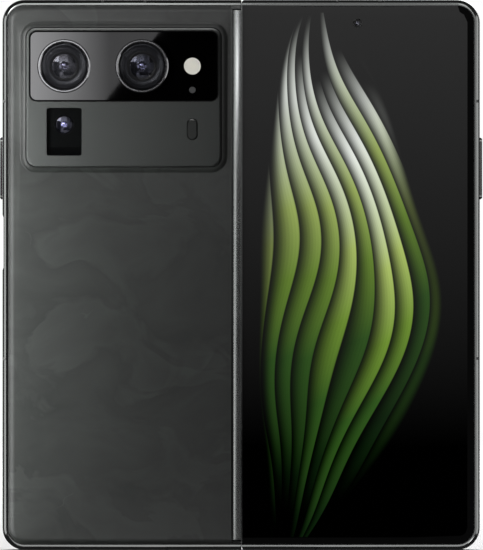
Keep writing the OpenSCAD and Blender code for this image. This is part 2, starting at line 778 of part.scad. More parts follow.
module flash_lens() {
    color("#e8e4d8") at_island(flash_u, lens_down) rotate([-90, 0, 0]) {
        translate([0, 0, island_y + 0.05]) cylinder(r = flash_r, h = strip_t + 0.5);
    }
}

module light_sensor() {
    color("#5a5c5e") at_island(flash_u, sensor_down) rotate([-90, 0, 0])
        translate([0, 0, island_y + 0.1]) cylinder(r = 0.92, h = strip_t + 0.35);
}

module focus_pill() {
    y0 = island_y + 0.1;
    y1 = island_y + 0.34;
    r = pill_w / 2 - 0.05;
    color("#3c3f3e") at_island(0, 0) {
        plate(y0, y1) pill_shape(-pill_chamfer);
        ring_sweep(flash_u - pill_w / 2, flash_u + pill_w / 2, -pill_down - pill_h / 2,
            -pill_down + pill_h / 2, r) chamfered(y0, y1, pill_chamfer, pill_drop, r - 0.1);
    }
}

module camera_half_battery() {
    color("#26282b") plate(bay_y0, bay_y1) rounded(-bay_side, -bay_seam, sub_bay_h + wall_t + 0.8,
        board_bay_z - 0.8, 1.5);
}

// Main board: runs down beside the camera modules
module main_board() {
    color("#1d3b2a") plate(bay_y1 - 0.1 - board_t, bay_y1 - 0.1) difference() {
        rounded(-bay_side, -bay_seam, board_bay_z + wall_t + 0.5, body_h - rail_wall - bay_clear, 1);
        translate([island_side - half_w, body_h - island_top]) {
            for (u = lens_u) translate([u - module_w / 2 - 0.3, -lens_down - module_w / 2 - 0.3])
                square([module_w + 0.6, island_top + lens_down + module_w]);
            translate([-island_side, -lower_lens_down - lower_module_w / 2 - 0.35])
                square([island_side + window_side + lower_module_w / 2 + 0.35, island_top + window_down]);
        }
    }
}

// Thin can that is open towards the board that it covers
module shield_can(x0, x1, z0, z1, y0, y1) {
    difference() {
        plate(y0, y1) rounded(x0, x1, z0, z1, 0.8);
        plate(y0 + shield_wall, y1 + past)
            rounded(x0 + shield_wall, x1 - shield_wall, z0 + shield_wall, z1 - shield_wall, 0.6);
    }
}

module board_shield() {
    x0 = island_side + window_side + module_w / 2 - half_w;
    z0 = board_bay_z + wall_t + 1.5;
    z1 = body_h - island_top - lens_down - module_w / 2 - 1.5;
    color("#9a9c9e") shield_can(x0, -bay_seam - 1, z0, z1, bay_y0 + bay_clear, bay_y1 - board_t - 0.15);
}

module charging_board() {
    color("#1d3b2a") plate(bay_y1 - board_t, bay_y1) difference() {
        rounded(corner_r - half_w, -usb_x + usb_w / 2 + 0.6, rail_wall + 0.2, sub_bay_h - 0.2, 0.8);
        translate([-usb_x - usb_w / 2 - 0.6, 0]) square([usb_w + 1.2 + past, usb_len + bay_clear]);
    }
}

module vibration_motor() {
    motor_y0 = bay_y0 + 0.3;
    color("#a8aaac") translate([corner_r + motor_r + 1.5 - half_w, motor_y0, rail_wall + motor_r + 1.5])
        rotate([-90, 0, 0]) cylinder(r = motor_r, h = bay_y1 - board_t - fit_gap - motor_y0);
}

// USB-C receptacle: rolled shell with its tongue
module usb_c_receptacle() {
    color("#b4b6b8") translate([-usb_x, port_y, 0.1]) {
        difference() {
            slot_hole(usb_w + 0.6, usb_t + 0.6, usb_len);
            translate([0, 0, -past]) slot_hole(usb_w, usb_t, usb_len + past - 0.8);
        }
        translate([-tongue_w / 2, -tongue_t / 2, 1]) cube([tongue_w, tongue_t, usb_len - 1.2]);
    }
}

module loudspeaker() {
    color("#202124") plate(bay_y0 + 0.2, bay_y1 - 0.1) rounded(-usb_x + usb_w / 2 + 0.9, -bay_seam,
        rail_wall + 0.1, sub_bay_h - 0.2, 1.2);
}

module screen_bezel() {
    rim(axis_x + wing_start) {
        translate([recess_inset + fit_gap, screen_y1]) square([bezel_w, bezel_rise]);
        translate([recess_inset + fit_gap, screen_y0]) square([0.6, screen_t + 0.01]);
    }
}

module camera_half_bezel() {
    color("#101112") mirrored() screen_bezel();
}

module screen_plate() {
    plate(screen_y0, screen_y1) half_outline(bend_half_w, screen_inset);
}

module camera_half_screen() {
    color("#0b0c0e") mirrored() screen_plate();
}

// Thin plate that carries the screen from the mid plate towards the fold axis
module wing_plate() {
    difference() {
        plate(wing_y0 + 0.02, screen_y0) translate([axis_x + wing_start, rail_wall + 0.15])
            square([pad_end - axis_x - wing_start - fit_gap, body_h - 2 * rail_wall - 0.3]);
        for (i = geared_units) gear_window(unit_z[i]);
    }
}

module gear_window(z) {
    translate([axis_x, wing_y0 - 0.1, z - unit_len / 2 - 0.2])
        cube([wing_start + 0.3, wing_t + 0.2, unit_len + 0.4]);
}

module camera_half_wing_plate() {
    color("#8d8f92") mirrored() wing_plate();
}

// Hinge arm of the cover half: knuckle round the fold axis, foot in the frame's pocket
module hinge_arm(z, phase, geared) {
    z0 = z - arm_len / 2;
    knuckle_len = geared ? arm_len - gear_w : arm_len;
    difference() {
        union() {
            translate([axis_x, axis_y, z0]) cylinder(r = knuckle_r, h = knuckle_len);
            translate([axis_x, axis_y - arm_t / 2, z0]) cube([pocket_r + foot_len, arm_t, knuckle_len]);
            translate([axis_x + gear_tip_r + 0.2, axis_y - arm_t / 2, z0 + knuckle_len - 0.1])
                cube([pocket_r + foot_len - gear_tip_r - 0.2, arm_t, arm_len - knuckle_len + 0.1]);
            if (geared) translate([axis_x, axis_y, z0 + knuckle_len - 0.01]) gear(phase, pin_r, gear_w);
        }
        translate([axis_x, axis_y, z0 - past]) cylinder(r = pin_r + pin_clear, h = arm_len + 2 * past);
        screw_holes(z) translate([0, 0, y_in - axis_y - arm_t / 2 - past]) {
            cylinder(r = screw_r + 0.17, h = arm_t + 2 * past);
            cylinder(r = screw_head_r + fit_gap, h = past + screw_r + 0.02);
        }
    }
}

module hinge_arms(phase) {
    for (i = [0:2]) hinge_arm(unit_z[i], phase, len(search(i, geared_units)) > 0);
}

module hinge_screws() {
    for (z = unit_z) screw_holes(z) translate([0, 0, y_in - axis_y - arm_t / 2]) {
        cylinder(r = screw_head_r, h = screw_r);
        cylinder(r = screw_r, h = screw_len);
    }
}

module camera_half_hinge_arms() {
    color("#a3a5a8") mirrored() hinge_arms(180 - left_arm_phase);
}

module camera_half_hinge_screws() {
    color("#c2c4c6") mirrored() hinge_screws();
}

module camera_half_key_switches() {
    color("#77797b") mirrored() {
        key_switch(rocker_z, rocker_len - 2, rocker_slack, [-1, 1] * rocker_len / 3);
        key_switch(power_z, power_len / 2, key_clear, [0]);
    }
}

module volume_rocker() {
    color("#4a4c4b") mirrored() {
        key_body(rocker_z, rocker_len, half_w + rocker_rise, rocker_slack);
        // fulcrum that the rocker tilts on
        translate([rocker_axis_x, rail_mid_y, rocker_z]) rotate([90, 0, 0])
            cylinder(r = fulcrum_r, h = key_t + 2 * key_flange_over - 0.2, center = true);
    }
}

module power_key() {
    color("#2c2e2f") mirrored() key_body(power_z, power_len, half_w - power_recess + 0.02, key_clear);
}

// ---------- spine ----------

module spine_section(r, top) {
    intersection() {
        translate([0, axis_y - spine_r + spine_crown_r]) circle(spine_crown_r - spine_r + r);
        union() {
            translate([-axis_x, axis_y - r]) square([2 * axis_x, r + top]);
            for (s = [-1, 1]) translate([s * axis_x, axis_y]) circle(r);
        }
        translate([-axis_x - r, axis_y - r - past]) square([2 * (axis_x + r), r + past + top]);
    }
}

module spine_cover() {
    color("#8f9294") difference() {
        translate([0, 0, spine_z0]) linear_extrude(spine_len) difference() {
            spine_section(spine_r, spine_edge_rise);
            spine_section(spine_in_r, spine_edge_rise + past);
        }
        for (z = unit_z, s = [-1, 1])
            translate([s * (axis_x + spine_r) - spine_r / 2, axis_y - arm_t / 2 - arm_gap,
                z - arm_len / 2 - arm_gap])
                cube([spine_r, body_t, arm_len + 2 * arm_gap]);
        // the caps close both ends
        for (z = [spine_z0 - past, spine_z0 + spine_len - end_cap_t]) translate([0, 0, z])
            linear_extrude(end_cap_t + past) spine_section(spine_in_r + 0.25, spine_edge_rise + past);
    }
}

module spine_end_caps() {
    color("#6f7274") for (z = [spine_z0 + fit_gap, spine_z0 + spine_len - end_cap_t + fit_gap])
        translate([0, 0, z]) linear_extrude(end_cap_t - 2 * fit_gap)
            spine_section(spine_in_r + 0.25 - fit_gap, spine_edge_rise);
}

// Chassis block of one hinge unit: two lugs that hold the pins and a core between the knuckles
module chassis_unit(z, geared) {
    z0 = z - unit_len / 2;
    core_len = geared ? unit_len - lug_len - gear_w - 2 * arm_gap : unit_len - lug_len;
    core_half = axis_x - knuckle_r - 0.35;
    fit_r = spine_in_r - fit_gap;
    floor_top = idler_y - gear_tip_r - 0.15;
    core_y0 = axis_y - fit_r + 0.12;
    plate_seat_y = screen_y0 - centre_plate_t - fit_gap;
    difference() {
        union() {
            for (lug_z = [z0, z0 + unit_len - lug_len]) translate([0, 0, lug_z]) linear_extrude(lug_len) {
                spine_section(fit_r, spine_edge_rise);
                for (s = [-1, 1]) translate([s * axis_x, axis_y]) circle(knuckle_r);
                translate([-core_half, axis_y - past])
                    square([2 * core_half, past + plate_seat_y - axis_y]);
            }
            translate([-core_half, core_y0, z0 + lug_len - 0.1])
                cube([2 * core_half, plate_seat_y - core_y0, core_len - lug_len + 0.1]);
            translate([-core_half, core_y0, z0 + lug_len - 0.1])
                cube([2 * core_half, floor_top - core_y0, unit_len - 2 * lug_len + 0.2]);
        }
        for (s = [-1, 1]) translate([s * axis_x, axis_y, z0 - past])
            cylinder(r = pin_r, h = unit_len + 2 * past);
        if (geared) for (s = [-1, 1]) translate([s * idler_x, idler_y, z0 + core_len - 1])
            cylinder(r = idler_pin_r, h = unit_len);
    }
}

module hinge_chassis() {
    color("#5d6063") for (i = [0:2]) chassis_unit(unit_z[i], len(search(i, geared_units)) > 0);
}

module hinge_pins() {
    color("#c9cbcd") {
        for (z = unit_z, s = [-1, 1]) translate([s * axis_x, axis_y, z - unit_len / 2])
            cylinder(r = pin_r, h = unit_len);
        for (i = geared_units, s = [-1, 1])
            translate([s * idler_x, idler_y, unit_z[i] + unit_len / 2 - lug_len - gear_w - 2 * arm_gap - 1])
                cylinder(r = idler_pin_r, h = gear_w + 2 * arm_gap + 1 + lug_len);
    }
}

module idler_gears(s, phase) {
    color("#b7a36a") for (i = geared_units)
        translate([s * idler_x, idler_y, unit_z[i] + unit_len / 2 - lug_len - gear_w - arm_gap])
            gear(phase, idler_pin_r + pin_clear, gear_w);
}

module left_idler_gears() {
    idler_gears(-1, left_idler_phase);
}

module right_idler_gears() {
    idler_gears(1, right_idler_phase);
}

// Plate on the spine that carries the middle of the folding screen
module centre_plate() {
    color("#9b9da0") plate(screen_y0 - centre_plate_t, screen_y0 - 0.02)
        translate([-centre_half_w, spine_z0 + 0.2]) square([2 * centre_half_w, spine_len - 0.4]);
}

module screen_bend_zone() {
    color("#0b0c0e") plate(screen_y0, screen_y1) translate([-bend_half_w, bend_inset])
        square([2 * bend_half_w, body_h - 2 * bend_inset]);
}

module hinge_flex_cables() {
    color("#b5772c") for (z = flex_z) translate([-flex_half_len, flex_y0, z - flex_w / 2])
        cube([2 * flex_half_len, flex_t, flex_w]);
}

// ---------- cover half ----------

module seam_corner_cuts() {
    plate(y_out - past, y_in + past) {
        translate([seam_half_gap, 0]) corner_waste(seam_corner_r);
        translate([seam_half_gap, body_h]) mirror([0, 1]) corner_waste(seam_corner_r);
    }
}

module cover_half_frame() {
    color("#3b3d3c") difference() {
        union() {
            half_frame(glass_t + cover_panel_t, seam_half_gap);
            // narrow metal edge beside the cover glass at the seam
            translate([seam_half_gap, rail_y0, lip_w - 0.3])
                cube([0.3, skin_t - rail_sink, body_h - 2 * lip_w + 0.6]);
        }
        seam_corner_cuts();
        band_cuts();
        key_opening(rocker_z, rocker_len);
        mic_hole(top_mic_x, body_h - rail_wall - past);
        translate([tray_x, port_y, body_h - rail_wall - past])
            slot_hole(tray_w + 2 * key_clear, tray_t + 2 * key_clear, rail_wall + 2 * past);
    }
}

module cover_half_antenna_bands() {
    antenna_bands();
}

module cover_glass() {
    color([0.04, 0.04, 0.05]) difference() {
        crowned_cover(seam_half_gap + 0.3 + fit_gap, glass_t);
        translate([slit_x0, y_out - past, body_h - lip_w - slit_h])
            cube([slit_len, body_t, slit_h + past]);
    }
}

module earpiece_mesh() {
    color("#0d0e0f") translate([slit_x0 + fit_gap, y_out + crown_drop, body_h - lip_w - slit_h + fit_gap])
        cube([slit_len - 2 * fit_gap, glass_t - crown_drop + 0.2, slit_h - 2 * fit_gap]);
}

module cover_display_panel() {
    color("#10140f") plate(y_out + glass_t, y_out + glass_t + cover_panel_t) difference() {
        half_outline(seam_half_gap + 0.3 + fit_gap, rail_wall + 0.3);
        translate([selfie_x, body_h - selfie_down]) circle(selfie_r);
    }
}

module front_camera(x, down, y0, y1, r, dir) {
    translate([x, (y0 + y1) / 2, body_h - down]) rotate([dir * 90, 0, 0]) {
        translate([0, 0, -(y1 - y0) / 2]) cylinder(r = r, h = y1 - y0);
        translate([-front_cam_base / 2, -front_cam_base / 2, -(y1 - y0) / 2])
            cube([front_cam_base, front_cam_base, 0.6 * (y1 - y0)]);
    }
}

module selfie_camera() {
    color("#121317") front_camera(selfie_x, selfie_down, y_out + glass_t + 0.02, bay_y1, selfie_r - 0.1, 1);
}

module inner_camera() {
    color("#121317") front_camera(inner_cam_x, inner_cam_down, bay_y0, bay_y1, 1.6, -1);
}

module earpiece_speaker() {
    beside = front_cam_base / 2 + bay_clear;
    color("#202124") plate(bay_y0 + 0.2, bay_y1) rounded(inner_cam_x + beside, selfie_x - beside,
        body_h - rail_wall - earpiece_len, body_h - rail_wall - 0.1, 0.5);
}

module cover_half_battery() {
    color("#26282b") plate(bay_y0, bay_y1) rounded(bay_seam, bay_side, sub_bay_h + wall_t + 0.8,
        board_bay_z - 0.8, 1.5);
}

module cover_half_board() {
    color("#1d3b2a") plate(bay_y1 - board_t, bay_y1) rounded(bay_seam, bay_side,
        board_bay_z + wall_t + 0.5, reader_z0 - bay_clear, 1);
}

module cover_half_board_shield() {
    edge = 2;
    color("#9a9c9e") shield_can(bay_seam + edge, bay_side - edge, board_bay_z + wall_t + 0.5 + edge,
        reader_z0 - bay_clear - edge, bay_y0 + 0.5, bay_y1 - board_t - fit_gap);
}

module cover_half_bezel() {
    color("#101112") screen_bezel();
}

module cover_half_screen() {
    color("#0b0c0e") difference() {
        screen_plate();
        translate([inner_cam_x, y_in, body_h - inner_cam_down]) rotate([90, 0, 0])
            cylinder(r = 1.7, h = body_t / 2);
    }
}

module cover_half_wing_plate() {
    color("#8d8f92") wing_plate();
}

module cover_half_hinge_arms() {
    color("#a3a5a8") hinge_arms(right_arm_phase);
}

module cover_half_hinge_screws() {
    color("#c2c4c6") hinge_screws();
}

module cover_half_key_switch() {
    color("#77797b") key_switch(rocker_z, rocker_len - 2, key_clear, [0]);
}

// The reader is a cage with a channel for the tray
module sim_reader() {
    half = tray_w / 2 + reader_side;
    room = tray_t / 2 + key_clear;
    color("#b4b6b8") difference() {
        plate(port_y - room - reader_wall, port_y + room + reader_wall)
            rounded(tray_x - half, tray_x + half, reader_z0, body_h - rail_wall - 0.05, 0.3);
        translate([tray_x - tray_w / 2 - key_clear, port_y - room, reader_z0 + reader_side])
            cube([tray_w + 2 * key_clear, 2 * room, tray_len]);
    }
}

module side_key() {
    color("#4a4c4b") key_body(rocker_z, rocker_len, half_w + rocker_rise, key_clear);
}

// SIM tray: a lid that closes the rail and a drawer with an open frame for the card
module sim_tray() {
    drawer_t = 0.9;
    color("#4a4c4b") difference() {
        union() {
            translate([tray_x, port_y, body_h - rail_wall]) slot_hole(tray_w, tray_t, rail_wall - 0.02);
            translate([tray_x - tray_w / 2 + 0.6, port_y - drawer_t / 2, body_h - tray_len])
                cube([tray_w - 1.2, drawer_t, tray_len - 1]);
        }
        translate([tray_x - card_w / 2, port_y - body_t / 2, body_h - tray_len + 1.6])
            cube([card_w, body_t, card_len]);
        translate([tray_x + tray_w / 2 - 1.6, port_y, body_h - rail_wall - 3])
            cylinder(r = 0.4, h = rail_wall + 4);
    }
}

camera_half_frame();
leather_back();
camera_island();
island_glass();
left_lens_ring();
right_lens_ring();
left_lens_glass();
right_lens_glass();
left_camera_module();
right_camera_module();
lower_window();
lower_camera_module();
flash_lens();
light_sensor();
focus_pill();
camera_half_antenna_bands();
camera_half_battery();
main_board();
board_shield();
vibration_motor();
usb_c_receptacle();
loudspeaker();
charging_board();
camera_half_bezel();
camera_half_screen();
camera_half_wing_plate();
camera_half_hinge_arms();
camera_half_hinge_screws();
camera_half_key_switches();
volume_rocker();
power_key();
spine_cover();
hinge_chassis();
hinge_pins();
spine_end_caps();
centre_plate();
screen_bend_zone();
hinge_flex_cables();
left_idler_gears();
right_idler_gears();
cover_half_frame();
cover_glass();
cover_display_panel();
selfie_camera();
earpiece_mesh();
earpiece_speaker();
cover_half_battery();
cover_half_board();
cover_half_board_shield();
cover_half_antenna_bands();
cover_half_bezel();
cover_half_screen();
inner_camera();
cover_half_wing_plate();
cover_half_hinge_arms();
cover_half_hinge_screws();
cover_half_key_switch();
sim_reader();
side_key();
sim_tray();
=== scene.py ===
"""Looks of a book-type foldable smartphone, open flat and standing on its bottom edge.

The outer faces look towards -Y, the folding screen towards +Y. Every piece is in metres, in the frame's own
place.
"""
import contextlib
import json
import math

import bpy
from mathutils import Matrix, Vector


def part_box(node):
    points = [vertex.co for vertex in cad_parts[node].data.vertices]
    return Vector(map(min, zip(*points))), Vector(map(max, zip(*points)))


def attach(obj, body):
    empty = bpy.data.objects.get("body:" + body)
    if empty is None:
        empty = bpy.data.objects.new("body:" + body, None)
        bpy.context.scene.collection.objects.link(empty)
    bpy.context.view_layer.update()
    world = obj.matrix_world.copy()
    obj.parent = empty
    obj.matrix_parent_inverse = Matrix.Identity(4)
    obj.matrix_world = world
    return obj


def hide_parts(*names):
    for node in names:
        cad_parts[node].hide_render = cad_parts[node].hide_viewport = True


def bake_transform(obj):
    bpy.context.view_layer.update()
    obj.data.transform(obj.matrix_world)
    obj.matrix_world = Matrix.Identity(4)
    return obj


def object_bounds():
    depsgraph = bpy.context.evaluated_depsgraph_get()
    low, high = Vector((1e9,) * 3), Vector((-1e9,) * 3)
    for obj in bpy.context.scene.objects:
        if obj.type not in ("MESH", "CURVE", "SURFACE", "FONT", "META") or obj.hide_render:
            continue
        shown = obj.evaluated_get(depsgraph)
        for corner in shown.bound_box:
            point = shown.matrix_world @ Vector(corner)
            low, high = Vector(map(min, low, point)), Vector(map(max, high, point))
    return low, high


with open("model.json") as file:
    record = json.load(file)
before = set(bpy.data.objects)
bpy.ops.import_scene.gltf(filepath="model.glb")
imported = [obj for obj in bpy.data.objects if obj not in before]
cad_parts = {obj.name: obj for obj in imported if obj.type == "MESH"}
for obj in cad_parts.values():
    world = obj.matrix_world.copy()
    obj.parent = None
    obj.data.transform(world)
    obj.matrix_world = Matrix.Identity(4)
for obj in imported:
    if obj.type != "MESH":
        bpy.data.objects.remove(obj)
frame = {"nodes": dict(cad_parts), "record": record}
cad_low, cad_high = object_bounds()

MM = 0.001
NODES = frame["nodes"]
slot_of = {row["node"]: row["material_slot"] for row in frame["record"]["subparts"]}
body_of = {node: body for body, nodes in frame["record"]["behaviour"]["bodies"].items() for node in nodes}


# ---------- sizes, read from the frame ----------

def centre(node):
    """Middle of a CAD node's box."""
    low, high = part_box(node)
    return (low + high) / 2


phone_h = cad_high.z - cad_low.z
mid_z = phone_h / 2


# ---------- camera and kinds of light ----------

# The photograph is 483 x 550 pixels, and the phone's height fills nearly all of it. A long lens stands so far
# off that a pixel at the phone's front is PIXEL wide.
PHOTO_H = 550
PIXEL = 0.28915 * MM
LENS, SENSOR = 400.0, 36.0
camera_y = cad_low.y - PHOTO_H * PIXEL * LENS / SENSOR
CAMERA_X, CAMERA_Z = 0.12 * MM, 79.66 * MM


def make_camera():
    data = bpy.data.cameras.new("camera")
    data.lens, data.sensor_width = LENS, SENSOR
    data.clip_start, data.clip_end = 0.05, 20
    cam = bpy.data.objects.new("camera", data)
    cam.location = (CAMERA_X, camera_y, CAMERA_Z)
    cam.rotation_euler = (math.radians(90), 0, 0)
    bpy.context.scene.collection.objects.link(cam)
    bpy.context.scene.camera = cam


# groups of pieces, for the lights that light only one of them
LEATHER, ISLAND, SPINE, OTHERS = (
    bpy.data.collections.new(name) for name in ("leather", "island", "spine", "others"))
# the pieces that aren't in OTHERS alone; those with an empty list are lit by no group's lights
GROUPS = {
    "leather_back": (LEATHER,), "camera_island": (ISLAND,), "focus_pill": (ISLAND,),
    "spine_cover": (SPINE, OTHERS), "cover_glass": (), "island_shade_frame": (), "strip_shade_frame": (),
    "top_seam_shade_piece": (), "bottom_seam_shade_piece": (), "floor": (),
}


def group_pieces():
    """Puts every piece into its groups, once all are made."""
    for piece in [item for item in bpy.context.scene.objects if item.type == "MESH"]:
        for group in GROUPS.get(piece.name.replace("_finished", ""), (OTHERS,)):
            group.objects.link(piece)


def softbox(name, place, aim, width, height, power, diffuse=True, glossy=True, lit=None):
    """An area light at place that faces aim. lit is the group of pieces that it lights, if not all."""
    data = bpy.data.lights.new(name, "AREA")
    data.shape, data.size, data.size_y, data.energy = "RECTANGLE", width, height, power
    light = bpy.data.objects.new(name, data)
    light.location = place
    light.rotation_euler = (Vector(aim) - Vector(place)).to_track_quat("-Z", "Y").to_euler()
    light.visible_camera = False
    light.visible_diffuse, light.visible_glossy = diffuse, glossy
    light.light_linking.receiver_collection = lit
    bpy.context.scene.collection.objects.link(light)


def mirrored(group, *boxes):
    """Softboxes that show in reflections alone, on a group's pieces or, if it is None, on all. Each is (name,
    place, aim, width, height, power)."""
    for name, place, aim, width, height, power in boxes:
        softbox(name, place, aim, width, height, power, diffuse=False, lit=group)


def gloss_card(name, corners, finish):
    """A glowing card in front of the phone that only reflections see."""
    mesh = bpy.data.meshes.new(name)
    mesh.from_pydata(corners, [], [range(len(corners))])
    card = bpy.data.objects.new(name, mesh)
    card.data.materials.append(finish)
    card.visible_camera = card.visible_diffuse = card.visible_shadow = False
    card.visible_transmission = card.visible_volume_scatter = False
    bpy.context.scene.collection.objects.link(card)


# ---------- shader maths ----------

class Value:
    """A shader socket: arithmetic on it adds its Math nodes."""

    def __init__(self, finish, socket):
        self.finish, self.socket = finish, socket

    def math(self, operation, *others):
        return self.finish.node("ShaderNodeMath", {"operation": operation}, None, *((self,) + others))

    def __add__(self, other):
        return self.math("ADD", other)

    def __sub__(self, other):
        return self.math("SUBTRACT", other)

    def __mul__(self, other):
        return self.math("MULTIPLY", other)

    def __truediv__(self, other):
        return self.math("DIVIDE", other)

    def __rsub__(self, other):
        return self.finish.node("ShaderNodeMath", {"operation": "SUBTRACT"}, None, other, self)

    def __rtruediv__(self, other):
        return self.finish.node("ShaderNodeMath", {"operation": "DIVIDE"}, None, other, self)

    __radd__, __rmul__ = __add__, __mul__

    def __abs__(self):
        return self.math("ABSOLUTE")

    def __pow__(self, power):
        return self.math("POWER", power)

    def sin(self):
        return self.math("SINE")

    def fraction(self):
        return self.math("FRACT")

    def floor(self):
        return self.math("FLOOR")

    def least(self, other):
        return self.math("MINIMUM", other)

    def most(self, other):
        return self.math("MAXIMUM", other)

    def step(self, low, high):
        """0 below low, 1 above high, smooth between. With low above high it falls instead."""
        return self.finish.node("ShaderNodeMapRange", {"interpolation_type": "SMOOTHSTEP"}, None,
                                self, low, high, 0.0, 1.0)

    def scale(self, low, high):
        """Maps 0..1 to low..high."""
        return self.finish.node("ShaderNodeMapRange", {}, None, self, 0.0, 1.0, low, high)


class Finish:
    """A material: its nodes end in one Principled shader, whose constants are set on its own sockets."""

    def __init__(self, name, **constants):
        self.material = bpy.data.materials.new(name)
        self.material.use_nodes = True
        self.tree = self.material.node_tree
        self.shader = self.tree.nodes["Principled BSDF"]
        self.set(**constants)

    def set(self, **inputs):
        """Sets sockets of the shader: base_color means Base Color. A Value is linked, a number is set."""
        for name, value in inputs.items():
            words = name.replace("_", " ").title().replace("Ior", "IOR")
            self.feed(self.shader.inputs[words], value)
        return self

    def feed(self, socket, value):
        if isinstance(value, Value):
            self.tree.links.new(value.socket, socket)
        elif hasattr(value, "__len__") and len(value) == 3 and socket.type == "RGBA":
            socket.default_value = (*value, 1.0)
        else:
            socket.default_value = value

    def node(self, kind, settings=None, output=None, *inputs, **named):
        """Adds a node, sets its settings, then its sockets in order or by name, and gives one output."""
        made = self.tree.nodes.new(kind)
        for key, value in (settings or {}).items():
            setattr(made, key, value)
        for socket, value in zip([s for s in made.inputs if s.enabled], inputs):
            if value is not None:
                self.feed(socket, value)
        for name, value in named.items():
            self.feed(made.inputs[name.replace("_", " ")], value)
        found = made.outputs[output] if output else next(s for s in made.outputs if s.enabled)
        return Value(self, found)

    def place(self, at=(0, 0, 0), scale=1000.0):
        """Object coordinates in millimetres from the point at."""
        coordinates = self.node("ShaderNodeTexCoord", None, "Object")
        shift = tuple(-c * scale for c in at)
        return self.node("ShaderNodeMapping", None, None, coordinates, shift, (0, 0, 0), (scale,) * 3)

    def axes(self, vector):
        """The x, y and z of a vector, as three values."""
        made = self.tree.nodes.new("ShaderNodeSeparateXYZ")
        self.feed(made.inputs[0], vector)
        return [Value(self, socket) for socket in made.outputs]

    def off_axis(self, at):
        """Distance in millimetres from the line along Y through the point at."""
        x, _, z = self.axes(self.place(at))
        return (x * x + z * z) ** 0.5

    def vector(self, x, y, z):
        return self.node("ShaderNodeCombineXYZ", None, None, x, y, z)

    def noise(self, vector, scale, detail=3.0, roughness=0.55, distortion=0.0):
        return self.node("ShaderNodeTexNoise", None, "Fac", Vector=vector, Scale=scale, Detail=detail,
                         Roughness=roughness, Distortion=distortion)

    def cells(self, vector, scale, output="Distance"):
        return self.node("ShaderNodeTexVoronoi", None, output, Vector=vector, Scale=scale)

    def mix(self, factor, first, second):
        """Mixes two colours."""
        made = self.tree.nodes.new("ShaderNodeMix")
        made.data_type = "RGBA"
        for socket, value in zip((made.inputs[0], made.inputs[6], made.inputs[7]), (factor, first, second)):
            self.feed(socket, value)
        return Value(self, made.outputs[2])

    def ramp(self, factor, stops):
        """Colour ramp with stops (place, colour)."""
        made = self.tree.nodes.new("ShaderNodeValToRGB")
        elements = made.color_ramp.elements
        while len(elements) < len(stops):
            elements.new(0.5)
        for element, (place, colour) in zip(elements, stops):
            element.position, element.color = place, (*colour, 1.0)
        self.feed(made.inputs[0], factor)
        return Value(self, made.outputs[0])

    def bump(self, height, distance, strength=1.0):
        """Relief as deep as distance, in millimetres, where height goes from 0 to 1."""
        return self.set(normal=self.node("ShaderNodeBump", None, None, Height=height, Distance=distance * MM,
                                         Strength=strength))


def glow(name, colour, strength, fade=None, axis="Z"):
    """Emission for a gloss card. With fade (first place, last place, first strength) in metres along axis, it
    changes from the first strength to strength."""
    material = bpy.data.materials.new(name)
    material.use_nodes = True
    nodes, links = material.node_tree.nodes, material.node_tree.links
    nodes.clear()
    light, out = nodes.new("ShaderNodeEmission"), nodes.new("ShaderNodeOutputMaterial")
    light.inputs["Color"].default_value = (*colour, 1.0)
    light.inputs["Strength"].default_value = strength
    if fade:
        first, last, first_strength = fade
        place, split = nodes.new("ShaderNodeTexCoord"), nodes.new("ShaderNodeSeparateXYZ")
        rise = nodes.new("ShaderNodeMapRange")
        rise.inputs["From Min"].default_value, rise.inputs["From Max"].default_value = first, last
        rise.inputs["To Min"].default_value, rise.inputs["To Max"].default_value = first_strength, strength
        links.new(place.outputs["Object"], split.inputs[0])
        links.new(split.outputs[axis], rise.inputs["Value"])
        links.new(rise.outputs[0], light.inputs["Strength"])
    links.new(light.outputs[0], out.inputs[0])
    return material


# ---------- finishes ----------

def polished_metal(name, colour, roughness, grain_axis="z", wear=0.06):
    """Coated metal with a fine polish along one axis, a few hairlines and slightly uneven gloss."""
    f = Finish(name, metallic=1.0, specular_ior_level=0.5)
    x, y, z = f.axes(f.place())
    along = {"x": (x * 0.02, y, z), "z": (x, y, z * 0.02)}[grain_axis]
    lines = f.noise(f.vector(*along), 6.0, 2.0)
    cloud = f.noise(f.place(), 0.05, 3.0)
    f.set(base_color=f.mix(cloud.step(0.35, 0.7), colour, tuple(c * (1 + wear) for c in colour)),
          roughness=lines * 0.05 + cloud * 0.05 + (roughness - 0.05))
    return f.bump(lines, 0.0006, 0.15)


def satin_metal(name, colour, roughness):
    """Bead-blasted and anodised metal."""
    f = Finish(name, metallic=0.1, specular_ior_level=0.25)
    place = f.place()
    blast = f.noise(place, 14.0, 2.0, 0.7)
    cloud = f.noise(place, 0.08, 2.0)
    f.set(base_color=f.mix(cloud, tuple(c * 0.94 for c in colour), tuple(c * 1.06 for c in colour)),
          roughness=blast * 0.1 + cloud * 0.05 + (roughness - 0.07))
    return f.bump(blast, 0.004, 0.5)


